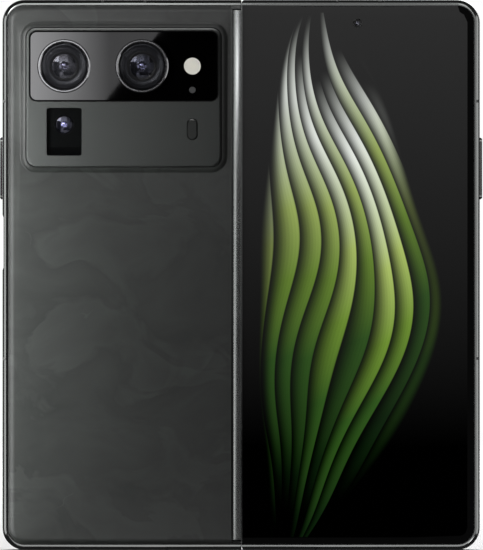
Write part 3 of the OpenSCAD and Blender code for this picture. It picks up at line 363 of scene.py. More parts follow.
def leather():
    """Smooth grey-green leather, marbled in broad soft strokes with crisp edges, and a fine grain."""
    f = Finish("marbled_leather", specular_ior_level=0.25, coat_weight=0.7, coat_roughness=0.25)
    place = f.place()
    x, _, z = f.axes(place)
    swirl = f.noise(place, 0.03, 2.0, 0.5)
    bent = f.vector(x * 0.72 + swirl * 22.0, 0.0, z + x * 0.25 + swirl * 30.0)
    stroke = f.noise(bent, 0.042, 4.0, 0.55, 0.5)
    layer = f.noise(f.vector(x * 0.6 - z * 0.3, 40.0, z * 0.9 + swirl * 24.0), 0.055, 3.0, 0.5, 0.8)
    # a stroke fades in slowly and ends at an edge, crisp in some places and soft in others
    soft = f.noise(place, 0.05, 2.0).step(0.35, 0.65) * 0.3 + 0.04
    first, second = (stroke * 4.0).fraction(), (layer * 3.0).fraction()
    broad = first * ((1.0 - first) / soft).least(1.0)
    narrow = second * ((1.0 - second) / soft).least(1.0)
    thread = abs(layer - 0.5).step(0.006, 0.0) * f.noise(place, 0.11).step(0.6, 0.72)
    shade = broad * 0.5 + narrow * 0.4 + f.noise(place, 0.018, 2.0) * 0.35 + thread * 0.4
    dark, light = (0.0158, 0.0187, 0.0165), (0.042, 0.0475, 0.0436)
    grain = f.cells(place, 3.4)
    pores = f.noise(place, 8.0, 3.0, 0.6)
    colour = f.mix(shade, dark, light)
    f.set(base_color=f.mix(pores.step(0.62, 0.78) * 0.25, colour, (0.012, 0.013, 0.012)),
          roughness=shade * -0.16 + grain * 0.08 + 0.53)
    return f.bump(grain.step(0.0, 0.55) * 0.6 + pores * 0.4, 0.012, 0.45)


def black_glass(name, colour, roughness):
    """Polished black glass, hardly uneven: only a trace of wiping."""
    f = Finish(name, specular_ior_level=0.5, ior=1.5)
    x, y, z = f.axes(f.place())
    wipe = f.noise(f.vector(x * 0.3 + z * 0.1, y, z * 0.05), 0.6, 3.0)
    f.set(base_color=f.mix(wipe, colour, tuple(c * 1.3 for c in colour)),
          roughness=wipe.step(0.4, 0.8) * 0.025 + roughness)
    return f


def clear_glass(name, tint, alpha, gloss):
    """Coated glass of which what is behind it shows through. gloss is how much it mirrors."""
    f = Finish(name, specular_ior_level=gloss, alpha=alpha)
    smear = f.noise(f.place(), 0.3, 3.0)
    f.set(base_color=f.mix(smear, tint, tuple(c * 1.5 for c in tint)), roughness=smear * 0.03 + 0.06)
    return f


def moulded(name, colour, roughness, grain=9.0):
    """Moulded plastic with a fine spark-eroded texture."""
    f = Finish(name)
    place = f.place()
    fine, broad = f.noise(place, grain, 2.0, 0.7), f.noise(place, 0.2, 2.0)
    f.set(base_color=f.mix(broad, tuple(c * 0.88 for c in colour), tuple(c * 1.12 for c in colour)),
          roughness=fine * 0.14 + broad * 0.06 + (roughness - 0.1))
    return f.bump(fine, 0.006, 0.4)


def steel(name, colour, roughness, axis="z"):
    """Metal of an inner piece, with little wear."""
    return polished_metal(name, colour, roughness, axis, 0.03)


def circuit_board():
    """Green board with copper tracks and gilded pads."""
    f = Finish("circuit_board")
    place = f.place()
    x, _, _ = f.axes(place)
    cell = f.cells(place, 0.35, "Color")
    tracks = (x * 1.6 + f.axes(cell)[0] * 3).fraction().step(0.42, 0.5) * f.noise(place, 0.5).step(0.48, 0.52)
    pads = f.cells(place, 0.9).step(0.2, 0.14)
    board = f.mix(tracks, (0.008, 0.04, 0.018), (0.02, 0.09, 0.04))
    f.set(base_color=f.mix(pads, board, (0.6, 0.42, 0.16)), metallic=pads, roughness=pads * -0.1 + 0.38)
    return f.bump(tracks * 0.5 + pads * 0.5, 0.03)


def foil():
    """Black foil round a battery, creased."""
    f = Finish("battery_foil", metallic=0.4)
    place = f.place()
    crease = f.noise(place, 0.12, 5.0, 0.6, 0.6)
    f.set(base_color=f.mix(crease, (0.018, 0.018, 0.02), (0.05, 0.05, 0.054)), roughness=crease * 0.3 + 0.2)
    return f.bump(crease, 0.12)


def spun_metal(name, colour, middle, roughness=0.16, relief=0.2):
    """Metal turned on a lathe: fine rings round the lens axis."""
    f = Finish(name, metallic=1.0)
    x, y, z = f.axes(f.place(middle))
    radius = (x * x + z * z) ** 0.5
    rings = f.noise(f.vector(radius, 0.0, y * 0.3), 5.0, 2.0)
    cloud = f.noise(f.place(), 0.3, 2.0)
    f.set(base_color=f.mix(cloud, colour, tuple(c * 1.2 for c in colour)),
          roughness=rings * 0.06 + (roughness - 0.03))
    return f.bump(rings, 0.001, relief)


def coated_lens(name, middle, radius, pupil, body):
    """Front element of a lens: its coating has one hue over the pupil and another on the glass round it."""
    f = Finish(name, metallic=0.85, coat_weight=0.6, coat_roughness=0.05)
    out = f.off_axis(middle) / (radius / MM)
    dust = f.noise(f.place(), 5.0, 2.0)
    rim = tuple(c * 0.35 for c in body)
    glass = f.mix(out.step(0.5, 0.95), body, rim)
    f.set(base_color=f.mix(out.step(0.42, 0.3), glass, pupil), roughness=dust * 0.03 + 0.1)
    return f


def window_mask(ledge_z):
    """Black mask behind a camera window: a shade lighter above a thin ledge than below it."""
    f = Finish("window_mask", specular_ior_level=0.05)
    _, _, z = f.axes(f.place())
    height = z - ledge_z / MM
    speck = f.noise(f.place(), 4.0, 2.0)
    above = f.mix(height.step(-0.05, 0.05), (0.0006, 0.0008, 0.0008), (0.0035, 0.004, 0.004))
    ledge = height.step(-0.12, 0.0) * height.step(0.14, 0.02)
    f.set(base_color=f.mix(ledge, above, (0.009, 0.01, 0.01)), roughness=speck * 0.1 + 0.5)
    return f


def flash_finish(middle):
    """Warm diffuser with the fine rings of a Fresnel lens, and a faint painted glow: the whole diffuser gives
    off a weak warm light of its own.
    """
    # painted glow: a weak warm emission over the whole diffuser
    f = Finish("flash_diffuser", roughness=0.25, coat_weight=0.2, emission_strength=0.28,
               emission_color=(1.0, 0.98, 0.88))
    radius = f.off_axis(middle)
    rings = (radius * 3.2).fraction()
    centre_glow = radius.step(1.9, 0.2)
    f.set(base_color=f.mix(centre_glow * 0.35, (0.7, 0.69, 0.62), (0.78, 0.75, 0.6)))
    return f.bump(rings, 0.02, 0.5)


def idle_screen():
    """Folding screen, off: deep black under a protective layer, with a soft crease at the fold."""
    f = Finish("idle_screen", coat_weight=0.3, coat_roughness=0.03)
    x, _, z = f.axes(f.place())
    cloud = f.noise(f.place(), 0.05, 2.0)
    waves = f.noise(f.vector(x * 0.6, 0.0, z * 0.03), 0.35, 2.0)
    crease = abs(x).step(0.5, 7.0)
    f.set(base_color=f.mix(cloud, (0.0035, 0.0038, 0.0045), (0.006, 0.0065, 0.0075)),
          roughness=cloud * 0.04 + 0.06)
    return f.bump(crease + waves * 0.15, 0.12)


def punched(name, colour, pitch):
    """Fine woven or etched mesh."""
    f = Finish(name, metallic=0.6)
    x, _, z = f.axes(f.place())
    across, up = (x / pitch).fraction() - 0.5, (z / pitch).fraction() - 0.5
    holes = across * across + up * up
    solid = holes.step(0.06, 0.12)
    f.set(base_color=f.mix(solid, (0.001, 0.001, 0.001), colour), roughness=solid * -0.2 + 0.6)
    return f.bump(solid, 0.05)


def lit_screen():
    """Cover glass with its screen lit: ribbons that sweep up it, pale at the top and deep green below."""
    f = Finish("lit_cover_glass", specular_ior_level=0.5, ior=1.5, emission_strength=1.0)
    x, _, z = f.axes(f.place())
    up = z / (phone_h / MM)
    # a bundle of ribbons round a curve that swings across the screen
    sway = (up * 5.2 - 0.6).sin() * 8.5 + up * 13.0 + 18.0
    spread = (up * math.pi * 0.98 + 0.06).sin().most(0.0) ** 0.8 * 24.0 + 1.5
    across = (x - sway) / spread
    ripple = (up * 9.0 + across * 2.2).sin() * 0.10 + (up * 17.0 - across * 3.1).sin() * 0.035
    s = across + ripple
    lines = s * 4.6 + (up * 7.5).sin() * 0.7 + up * 3.0
    ribbon, index = lines.fraction(), lines.floor()
    chance = f.node("ShaderNodeTexWhiteNoise", {"noise_dimensions": "1D"}, "Value", W=index)
    fold = ribbon.step(-0.1, 0.92) * ribbon.step(1.0, 0.93)
    silk = (ribbon * 46.0 + up * 20.0).sin() * 0.035 + 0.965
    tips = up + chance * 0.16
    reach = tips.step(0.08, 0.24) * tips.step(1.0, 0.84)
    inside = abs(s).step(1.0, 0.78)
    hues = f.ramp(up + (chance - 0.5) * 0.22 + s * -0.07, [
        (0.08, (0.006, 0.022, 0.005)), (0.3, (0.03, 0.095, 0.012)), (0.44, (0.15, 0.27, 0.028)),
        (0.57, (0.40, 0.52, 0.13)), (0.67, (0.58, 0.66, 0.42)), (0.78, (0.80, 0.84, 0.78))])
    shine = fold * silk * (chance * 0.35 + 0.72) * inside * reach
    shade = f.mix(shine, (0.0, 0.0, 0.0), hues)
    # the lit area has round corners and stops short of the glass's edge
    from_x, _, from_z = f.axes(f.place((centre("cover_glass").x, 0, mid_z)))
    half_w, half_h, corner = 32.2, 76.0, 4.5
    past_x, past_z = (abs(from_x) - (half_w - corner)).most(0.0), (abs(from_z) - (half_h - corner)).most(0.0)
    lit = ((past_x * past_x + past_z * past_z) ** 0.5).step(corner, corner - 0.2)
    hole = f.off_axis(centre("selfie_camera")).step(1.25, 1.4)
    f.set(base_color=(0.002, 0.002, 0.0025), roughness=f.noise(f.place(), 0.1) * 0.03 + 0.015,
          emission_color=f.mix(lit * hole, (0.0, 0.0, 0.0), shade), alpha=hole.scale(0.25, 1.0))
    return f


# ---------- mesh helpers ----------

# Corners of a turned piece's circle, and how far apart vertices are that are still one and the same.
AROUND = 96
DOUBLE = 1e-6


def only(piece):
    """Selects one object alone and makes it active."""
    bpy.ops.object.select_all(action="DESELECT")
    piece.select_set(True)
    bpy.context.view_layer.objects.active = piece


def select_only(mesh, edges=(), faces=()):
    """Selects the edges or faces of a mesh by a list of yes and no, and nothing else, for edit mode."""
    bpy.context.tool_settings.mesh_select_mode = (False, bool(edges), bool(faces))
    for items, picked in ((mesh.vertices, ()), (mesh.edges, edges), (mesh.polygons, faces)):
        items.foreach_set("select", list(picked) or [False] * len(items))


@contextlib.contextmanager
def edit_mode(everything=False):
    """Edit mode for the operators of the block, with everything selected if that is said."""
    bpy.ops.object.mode_set(mode="EDIT")
    if everything:
        bpy.ops.mesh.select_all(action="SELECT")
    yield
    bpy.ops.object.mode_set(mode="OBJECT")


def box_piece(name, middle, size):
    """A box, to be shaped further."""
    bpy.ops.object.select_all(action="DESELECT")
    bpy.ops.mesh.primitive_cube_add(size=1, location=middle)
    piece = bpy.context.object
    piece.name = piece.data.name = name
    piece.scale = size
    bpy.ops.object.transform_apply(location=True, rotation=True, scale=True)
    return piece


def add_modifier(kind):
    """Adds a modifier to the active object and gives it."""
    bpy.ops.object.modifier_add(type=kind)
    return bpy.context.object.modifiers[-1]


def apply_modifiers():
    """Applies the active object's modifiers in their order."""
    for name in [modifier.name for modifier in bpy.context.object.modifiers]:
        bpy.ops.object.modifier_apply(modifier=name)


def bore(piece, middle, radius, depth, around):
    """Cuts a round hole along Y into a piece."""
    bpy.ops.object.select_all(action="DESELECT")
    bpy.ops.mesh.primitive_cylinder_add(vertices=around, radius=radius, depth=depth, location=middle,
                                        rotation=(math.radians(90), 0, 0))
    drill = bpy.context.object
    only(piece)
    add_modifier("BOOLEAN").object = drill
    apply_modifiers()
    bpy.data.objects.remove(drill)


def smooth_edges(piece, degrees=32):
    """Smooth shading within the angle, with flat faces kept flat."""
    only(piece)
    bpy.ops.object.shade_smooth_by_angle(angle=math.radians(degrees))
    add_modifier("WEIGHTED_NORMAL").keep_sharp = True
    apply_modifiers()


def settle(piece, finish, body):
    """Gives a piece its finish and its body."""
    piece.data.materials.clear()
    piece.data.materials.append(finish.material)
    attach(piece, body)
    return piece


def shown_copy(node, finish):
    """A copy of a CAD node with its doubles merged and smooth shading, which stands for the node."""
    piece = bpy.data.objects.new(node + "_finished", NODES[node].data.copy())
    bpy.context.scene.collection.objects.link(piece)
    only(piece)
    bpy.ops.mesh.customdata_custom_splitnormals_clear()
    with edit_mode(everything=True):
        bpy.ops.mesh.remove_doubles(threshold=DOUBLE)
    smooth_edges(piece)
    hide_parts(node)
    return settle(piece, finish, body_of[node])


def turned_stack(name, middle, steps, body, finish):
    """A solid turned about the line through middle along Y. Its steps are (radius, place along Y), from one
    end of its outline to the other."""
    radius, y = steps[0]
    bpy.ops.object.select_all(action="DESELECT")
    bpy.ops.mesh.primitive_circle_add(vertices=AROUND, radius=radius, fill_type="NGON",
                                      location=(middle.x, y, middle.z), rotation=(math.radians(90), 0, 0))
    piece = bpy.context.object
    piece.name = piece.data.name = name
    bpy.ops.object.transform_apply(location=True, rotation=True, scale=True)
    with edit_mode(everything=True):
        for next_radius, next_y in steps[1:]:
            bpy.ops.mesh.extrude_region_move(TRANSFORM_OT_translate={"value": (0, next_y - y, 0)})
            ratio = next_radius / radius
            bpy.ops.transform.resize(value=(ratio, 1, ratio), center_override=(middle.x, next_y, middle.z))
            radius, y = next_radius, next_y
        bpy.ops.mesh.select_all(action="SELECT")
        bpy.ops.mesh.normals_make_consistent(inside=False)
    smooth_edges(piece, 40)
    settle(piece, finish, body)


# ---------- studio ----------

def make_world():
    """White behind the phone, and a dim one for what it lights and what mirrors it."""
    lit, mirror, seen = 0.03, 0.06, 1.0
    world = bpy.data.worlds.new("studio")
    bpy.context.scene.world = world
    world.use_nodes = True
    nodes, links = world.node_tree.nodes, world.node_tree.links
    nodes.clear()
    out, path = nodes.new("ShaderNodeOutputWorld"), nodes.new("ShaderNodeLightPath")

    def sky(strength):
        made = nodes.new("ShaderNodeBackground")
        made.inputs["Color"].default_value = (1.0, 1.0, 1.0, 1.0)
        made.inputs["Strength"].default_value = strength
        return made

    def choose(factor, first, second):
        made = nodes.new("ShaderNodeMixShader")
        links.new(factor, made.inputs[0])
        links.new(first.outputs[0], made.inputs[1])
        links.new(second.outputs[0], made.inputs[2])
        return made

    mixed = choose(path.outputs["Is Glossy Ray"], sky(lit), sky(mirror))
    mixed = choose(path.outputs["Is Camera Ray"], mixed, sky(seen))
    links.new(mixed.outputs[0], out.inputs[0])


def make_floor():
    """A pale floor that fades into the white behind it."""
    bpy.ops.object.select_all(action="DESELECT")
    bpy.ops.mesh.primitive_plane_add(size=4.0, location=(0, 0, cad_low.z))
    floor = bpy.context.object
    floor.name = "floor"
    f = Finish("pale_floor", roughness=0.6, specular_ior_level=0.1)
    metres = f.place(scale=1.0)
    x, y, _ = f.axes(metres)
    far = (x * x + y * y) ** 0.5
    f.set(base_color=f.mix(f.noise(metres, 3.0), (0.86, 0.86, 0.86), (0.9, 0.9, 0.9)),
          alpha=far.step(1.5, 0.3))
    floor.data.materials.append(f.material)
    floor.visible_glossy = floor.visible_diffuse = False


def make_light():
    """Soft light on what is rough, and boxes and walls of light that show only in reflections."""
    aim = (0, 0, mid_z)
    softbox("key", (-0.75, -0.6, 0.6), aim, 0.5, 0.5, 0.8, glossy=False, lit=OTHERS)
    softbox("fill", (0.7, -0.8, 0.5), aim, 0.6, 0.6, 0.3, glossy=False, lit=OTHERS)
    softbox("overhead", (0, 0.75, 1.6), (0, 0.3, 0), 1.8, 1.2, 30.0, glossy=False)
    softbox("back_fill", (0.4, 0.9, 0.7), aim, 0.6, 0.6, 6.0)
    # a long strip close to the left edge, from which the leather and the island darken to the right
    strip, half_middle, strip_w, strip_h = (-0.09, -0.025, mid_z), (-0.03, 0, mid_z), 0.012, 0.155
    for name, power, group in (("leather_edge", 0.09, LEATHER), ("island_edge", 0.129, ISLAND),
                               ("frame_edge", 0.133, OTHERS)):
        softbox(name, strip, half_middle, strip_w, strip_h, power, glossy=False, lit=group)
    mirrored(
        LEATHER,
        ("sheen_near", (-0.34, -0.9, mid_z), aim, 0.12, 0.6, 1.0),
        ("sheen_peak", (-0.4, -0.86, mid_z), aim, 0.1, 0.6, 1.7),
        ("sheen_far", (-0.62, -0.7, mid_z), aim, 0.25, 0.6, 0.85),
        ("sheen_top", (-0.1, -0.83, mid_z + 0.28), aim, 0.7, 0.1, 0.5),
        ("sheen_high", (-0.1, -0.55, mid_z + 0.72), aim, 0.7, 0.2, 1.5),
        ("sheen_front", (-0.05, -0.9, mid_z), aim, 0.5, 0.5, 1.05))
    mirrored(
        ISLAND,
        ("island_top", (-0.05, -0.7, mid_z + 0.75), aim, 0.7, 0.25, 9.0),
        ("island_left", (-0.75, -0.7, mid_z), aim, 0.25, 0.6, 1.0))
    mirrored(
        OTHERS,
        # walls, which show as stripes along the rails, rims and chamfers
        ("left_wall", (-0.7, -0.52, mid_z), (0, -0.52, mid_z), 0.85, 0.6, 3.6),
        ("right_wall", (0.7, -0.25, mid_z), (0, -0.25, mid_z), 0.6, 0.6, 1.9),
        ("right_front", (0.6, -0.9, mid_z), aim, 0.8, 0.6, 1.2),
        ("top_front", (0, -0.8, mid_z + 0.4), aim, 0.6, 0.45, 2.2),
        ("bottom_front", (0, -0.8, mid_z - 0.4), aim, 0.6, 0.45, 1.4),
        # small boxes, which show in the lens cones and the front elements
        ("upper_left_box", (-0.42, -0.75, mid_z + 0.42), aim, 0.25, 0.25, 2.4),
        ("lower_right_box", (0.42, -0.75, mid_z - 0.42), aim, 0.2, 0.2, 0.8))
    mirrored(
        SPINE,
        ("spine_strip", (-0.12, -0.55, mid_z), aim, 0.03, 0.23, 0.2),
        ("spine_edge", (-0.17, -0.55, mid_z), aim, 0.05, 0.23, 0.05))
    mirrored(
        None,
        ("back_wall", (0.5, 1.0, 0.55), (0, 0, 0.1), 1.2, 0.5, 2.5),
        ("back_left_wall", (-0.8, 0.8, 0.25), (0, 0, 0.1), 0.5, 0.9, 1.6))


def make_cards():
    """What the flat glass mirrors: black straight ahead, a card with a slanted edge in the glass of the
    cameras, and a soft rise of light over the cover screen."""
    card_y = -0.3
    behind_y = card_y - 0.02
    reach = 1 + card_y / camera_y

    def seen(x, z, depth=card_y):
        """The place on a card that the glass mirrors at x, z, in millimetres."""
        return (x * MM * reach, depth, mid_z + (z * MM - mid_z) * reach)

    gloss_card("black_card", [seen(x, z, behind_y) for x, z in ((-70, -5), (70, -5), (70, 165), (-70, 165))],
               glow("black_card", (0.0, 0.0, 0.0), 0.0))
    gloss_card("slanted_card", [seen(-66, 151), seen(-22.8, 151), seen(-39.7, 129.3), seen(-66, 129.3)],
               glow("card_glow", (1.0, 1.0, 1.02), 1.3, (seen(-62, 0)[0], seen(-38, 0)[0], 7.0), "X"))
    gloss_card("upper_card", [seen(0.3, 30), seen(70, 30), seen(70, 450), seen(0.3, 450)],
               glow("upper_glow", (1.0, 1.0, 1.0), 0.68, (seen(0, 30)[2], seen(0, 160)[2], 0.0)))


make_camera()
bpy.context.scene.view_settings.view_transform = "Standard"
make_world()
make_floor()
make_light()
make_cards()


# ---------- finishes of the CAD nodes ----------

FINISHES = {
    "rail_metal": polished_metal("gunmetal_rail", (0.16, 0.165, 0.162), 0.14),
    "key_metal": polished_metal("gunmetal_key", (0.2, 0.205, 0.2), 0.18),
    "island_metal": satin_metal("satin_island", (0.075, 0.08, 0.077), 0.38),
    "spine_metal": polished_metal("polished_spine", (0.3, 0.31, 0.305), 0.16),
    "ring_metal": spun_metal("left_ring_metal", (0.2, 0.2, 0.205), centre("left_lens_ring")),
    "black_glass": black_glass("strip_glass", (0.0006, 0.0006, 0.0007), 0.02),
    "clear_glass": clear_glass("lens_cover_glass", (0.01, 0.01, 0.012), 0.3, 0.0),
    "lens_black": moulded("blackened_barrel", (0.008, 0.008, 0.009), 0.35),
    "flash_white": flash_finish(centre("flash_lens")),
    "sensor_grey": moulded("sensor_grey", (0.05, 0.05, 0.052), 0.3),
    "leather": leather(),
    "cover_glass": lit_screen(),
    "display_panel": black_glass("display_panel", (0.01, 0.011, 0.012), 0.1),
    "screen_glass": idle_screen(),
    "band_plastic": moulded("band_inlay", (0.05, 0.052, 0.05), 0.4),
    "bezel_plastic": moulded("bezel_plastic", (0.01, 0.01, 0.011), 0.42),
    "speaker_plastic": moulded("speaker_plastic", (0.02, 0.02, 0.022), 0.5),
    "mesh_black": punched("earpiece_weave", (0.03, 0.03, 0.032), 0.18),
    "battery_foil": foil(),
    "board_green": circuit_board(),
    "shield_steel": steel("shield_steel", (0.55, 0.55, 0.54), 0.35, "x"),
    "hinge_steel": steel("hinge_steel", (0.42, 0.42, 0.44), 0.32),
    "screw_steel": steel("screw_steel", (0.58, 0.58, 0.6), 0.25, "x"),
    "gear_brass": steel("gear_brass", (0.6, 0.46, 0.2), 0.28),
    "flex_copper": moulded("flex_polyimide", (0.3, 0.13, 0.03), 0.3, 3.0),
}
right_ring_finish = spun_metal("right_ring_metal", (0.2, 0.2, 0.205), centre("right_lens_ring"))
window_glass = clear_glass("window_glass", (0.0005, 0.0007, 0.0008), 0.15, 0.05)
pill_finish = satin_metal("satin_pill", (0.045, 0.048, 0.046), 0.36)
# near-black finish of the pieces that stand for the shade in gaps and seams: painted shade
shade_frame_finish = moulded("shade_frame_black", (0.0015, 0.0015, 0.0016), 0.6)
contact_finish = steel("contact_gold", (0.8, 0.6, 0.25), 0.25)
barrel_finish = FINISHES["lens_black"]

for node, obj in NODES.items():
    obj.data.materials.clear()
    obj.data.materials.append(FINISHES[slot_of[node]].material)
NODES["right_lens_ring"].data.materials[0] = right_ring_finish.material
NODES["lower_window"].data.materials[0] = window_glass.material
NODES["focus_pill"].data.materials[0] = pill_finish.material

for node in ("camera_half_frame", "cover_half_frame", "leather_back", "camera_island", "island_glass",
             "cover_glass", "left_lens_ring", "volume_rocker", "power_key", "side_key", "sim_tray",
             "spine_cover", "camera_half_bezel", "cover_half_bezel"):
    shown_copy(node, FINISHES[slot_of[node]])
shown_copy("right_lens_ring", right_ring_finish)


# ---------- lenses ----------

# The way that a camera looks: OUT of the outer faces, or IN from the folding screen's side.
OUT, IN = -1, 1


def dome(radius, rim_y, rise, inner, way):
    """Steps of a spherical cap for turned_stack, from its rim in to the radius inner."""
    count = 10
    sphere = (radius * radius + rise * rise) / (2 * rise)
    radii = [radius + (inner - radius) * k / count for k in range(1, count + 1)]
    return [(r, rim_y + way * (math.sqrt(sphere * sphere - r * r) - (sphere - rise))) for r in radii]


def cut_front(piece, y, way=OUT):
    """Takes away what lies in front of a place along Y and closes the cut."""
    only(piece)
    with edit_mode(everything=True):
        bpy.ops.mesh.bisect(plane_co=(0, y, 0), plane_no=(0, -way, 0), use_fill=True, clear_inner=True)


def steps_from(front, rows, way=OUT, unit=MM):
    """Steps for turned_stack from rows of (radius in units, depth in millimetres behind front)."""
    return [(radius * unit, front - way * depth * MM) for radius, depth in rows]


def front_element(name, middle, radius, rim_y, body, pupil, glass, way=OUT):
    """A domed front lens with the steeper glass of the pupil in its middle. rim_y is where its rim lies."""
    skirt, tip_r, pupil_r = 0.15 * MM, 0.03 * MM, 0.4 * radius
    rise, pupil_rise = 0.16 * radius, 0.32 * pupil_r
    outer = dome(radius, rim_y, rise, pupil_r, way)
    inner = dome(pupil_r, outer[-1][1], pupil_rise, tip_r, way)
    turned_stack(name, middle, [(radius, rim_y - way * skirt), (radius, rim_y)] + outer + inner, body,
                 coated_lens(name + "_coating", middle, radius, pupil, glass))


def lens_stack(side, pupil, glass, cone_colour):
    """The stepped cone, retaining ring and front element behind one large cover glass."""
    module_depth, lens_r, lens_depth = 1.2 * MM, 3.48 * MM, 0.84 * MM
    cone_rows = [(6.35, 1.19), (6.35, 0.06), (6.2, 0.03), (6.05, 0.03), (5.95, 0.12), (4.95, 0.5),
                 (4.75, 0.53), (4.7, 0.78), (4.4, 0.8), (4.35, 0.7), (3.7, 0.9), (3.6, 1.0)]
    retainer_rows = [(4.3, 0.95), (4.3, 0.62), (4.2, 0.58), (3.95, 0.58), (3.55, 0.72), (3.5, 0.9)]
    middle = centre(side + "_lens_ring")
    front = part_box(side + "_lens_glass")[1].y
    cut_front(shown_copy(side + "_camera_module", barrel_finish), front + module_depth)
    turned_stack(side + "_lens_cone", middle, steps_from(front, cone_rows), "camera_half",
                 spun_metal(side + "_cone_black", cone_colour, middle, 0.34, 0.05))
    turned_stack(side + "_lens_retainer", middle, steps_from(front, retainer_rows), "camera_half",
                 barrel_finish)
    front_element(side + "_front_element", middle, lens_r, front + lens_depth, "camera_half", pupil, glass)


def lower_lens():
    """Behind the lower window: a black mask with a round hole, over a small camera."""
    module_depth, lens_r, lens_depth = 1.05 * MM, 2.38 * MM, 0.6 * MM
    mask_depth, mask_t, mask_gap = 0.055 * MM, 0.07 * MM, 0.1 * MM
    hole_r, hole_depth, ledge_z = 2.95 * MM, 1 * MM, 116.85 * MM
    cone_rows = [(3.1, 1.04), (3.1, 0.14), (3.0, 0.12), (2.75, 0.14), (2.45, 0.5), (2.4, 0.75)]
    low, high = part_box("lower_window")
    middle, front = centre("lower_camera_module"), high.y
    cut_front(shown_copy("lower_camera_module", barrel_finish), front + module_depth)
    mask = box_piece("lower_window_mask", ((low.x + high.x) / 2, front + mask_depth, (low.z + high.z) / 2),
                     (high.x - low.x - mask_gap, mask_t, high.z - low.z - mask_gap))
    bore(mask, (middle.x, front, middle.z), hole_r, hole_depth, AROUND)
    smooth_edges(mask)
    settle(mask, window_mask(ledge_z), "camera_half")
    turned_stack("lower_lens_cone", middle, steps_from(front, cone_rows), "camera_half",
                 spun_metal("lower_cone_black", (0.02, 0.02, 0.022), middle, 0.3, 0.05))
    front_element("lower_front_element", middle, lens_r, front + lens_depth, "camera_half",
                  (0.5, 0.5, 0.95), (0.06, 0.062, 0.1))


def screen_camera(node, way, barrel_r):
    """A small camera behind a hole in a screen: a bored barrel and its lens."""
    module_depth, lens_depth, lens_share = 0.7 * MM, 0.35 * MM, 0.5
    barrel_rows = [(1.0, 0.69), (1.0, 0.04), (0.97, 0.0), (0.85, 0.0), (0.55, 0.3), (0.52, 0.6)]
    low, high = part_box(node)
    middle, front = (low + high) / 2, low.y if way == OUT else high.y
    cut_front(shown_copy(node, barrel_finish), front - way * module_depth, way)
    turned_stack(node + "_barrel", middle, steps_from(front, barrel_rows, way, barrel_r), "cover_half",
                 barrel_finish)
    front_element(node + "_front_element", middle, lens_share * barrel_r, front - way * lens_depth,
                  "cover_half", (0.8, 0.8, 0.95), (0.1, 0.1, 0.14), way)


lens_stack("left", (0.27, 0.265, 0.38), (0.24, 0.245, 0.29), (0.105, 0.108, 0.118))
lens_stack("right", (0.2, 0.2, 0.34), (0.09, 0.095, 0.14), (0.056, 0.058, 0.064))
lower_lens()
screen_camera("selfie_camera", OUT, 1.3 * MM)
screen_camera("inner_camera", IN, 1.6 * MM)


# ---------- black frames round the island and its glass: painted shade in their gaps ---

# Two corners of an edge lie apart, and a face looks along an axis, by more than these.
APART, FACING = 1e-7, 0.9


def shade_frame(name, node, corner, front, back):
    """A thin black frame round a CAD node with round corners, from front to back along Y, which paints the
    shade in the gap round the node.
    """
    width = 0.3 * MM
    low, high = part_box(node)
    piece = box_piece(name, ((low.x + high.x) / 2, (front + back) / 2, (low.z + high.z) / 2),
                      (high.x - low.x + 2 * width, back - front, high.z - low.z + 2 * width))
    mesh = piece.data
    ends = [[mesh.vertices[v].co for v in edge.vertices] for edge in mesh.edges]
    select_only(mesh, edges=[abs(first.y - second.y) > APART for first, second in ends])
    with edit_mode():
        bpy.ops.mesh.bevel(offset=corner + width, segments=12)
    select_only(mesh, faces=[abs(face.normal.y) > FACING for face in mesh.polygons])
    with edit_mode():
        bpy.ops.mesh.inset(thickness=width)
        bpy.ops.mesh.bridge_edge_loops()
    smooth_edges(piece)
    settle(piece, shade_frame_finish, "camera_half")


leather_y, island_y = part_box("leather_back")[0].y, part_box("camera_island")[0].y
# painted shade: black frames where the gaps round the island and round its glass lie in shade
shade_frame("island_shade_frame", "camera_island", 2.8 * MM, leather_y - 0.05 * MM, leather_y + 0.1 * MM)
shade_frame("strip_shade_frame", "island_glass", 2.0 * MM, island_y - 0.02 * MM, island_y + 0.02 * MM)


# ---------- black pieces past the ends of the spine: painted shade in the seams ---

def seam_shade_piece(name, spine_z, frame_z):
    """A black piece past one end of the spine, which paints the shade in the seam: a bar along the end, and a
    lip in the halves' seam.
    """
    near, seat, short, depth = 0.05 * MM, 0.41 * MM, 0.15 * MM, 1.0 * MM
    left_x, seam_x, lip_x = -3.4 * MM, -0.1 * MM, 0.085 * MM
    way = 1 if frame_z > spine_z else -1
    near_z, seat_z, lip_z = spine_z + way * near, spine_z + way * seat, frame_z - way * short
    dark_piece = box_piece(name, ((left_x + lip_x) / 2, 0, (near_z + seat_z) / 2),
                     (lip_x - left_x, depth, abs(seat_z - near_z)))
    with edit_mode(everything=True):
        bpy.ops.mesh.bisect(plane_co=(seam_x, 0, 0), plane_no=(1, 0, 0))
    select_only(dark_piece.data, faces=[face.normal.z * way > FACING and face.center.x > seam_x
                                  for face in dark_piece.data.polygons])
    with edit_mode():
        bpy.ops.mesh.extrude_region_move(TRANSFORM_OT_translate={"value": (0, 0, lip_z - seat_z)})
    smooth_edges(dark_piece)
    settle(dark_piece, shade_frame_finish, "camera_half")


# painted shade: black pieces that fill the seams at both ends of the spine
seam_shade_piece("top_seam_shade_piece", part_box("spine_cover")[1].z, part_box("camera_half_frame")[1].z)
seam_shade_piece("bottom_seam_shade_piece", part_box("spine_cover")[0].z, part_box("camera_half_frame")[0].z)


# ---------- contacts of the charging port ----------

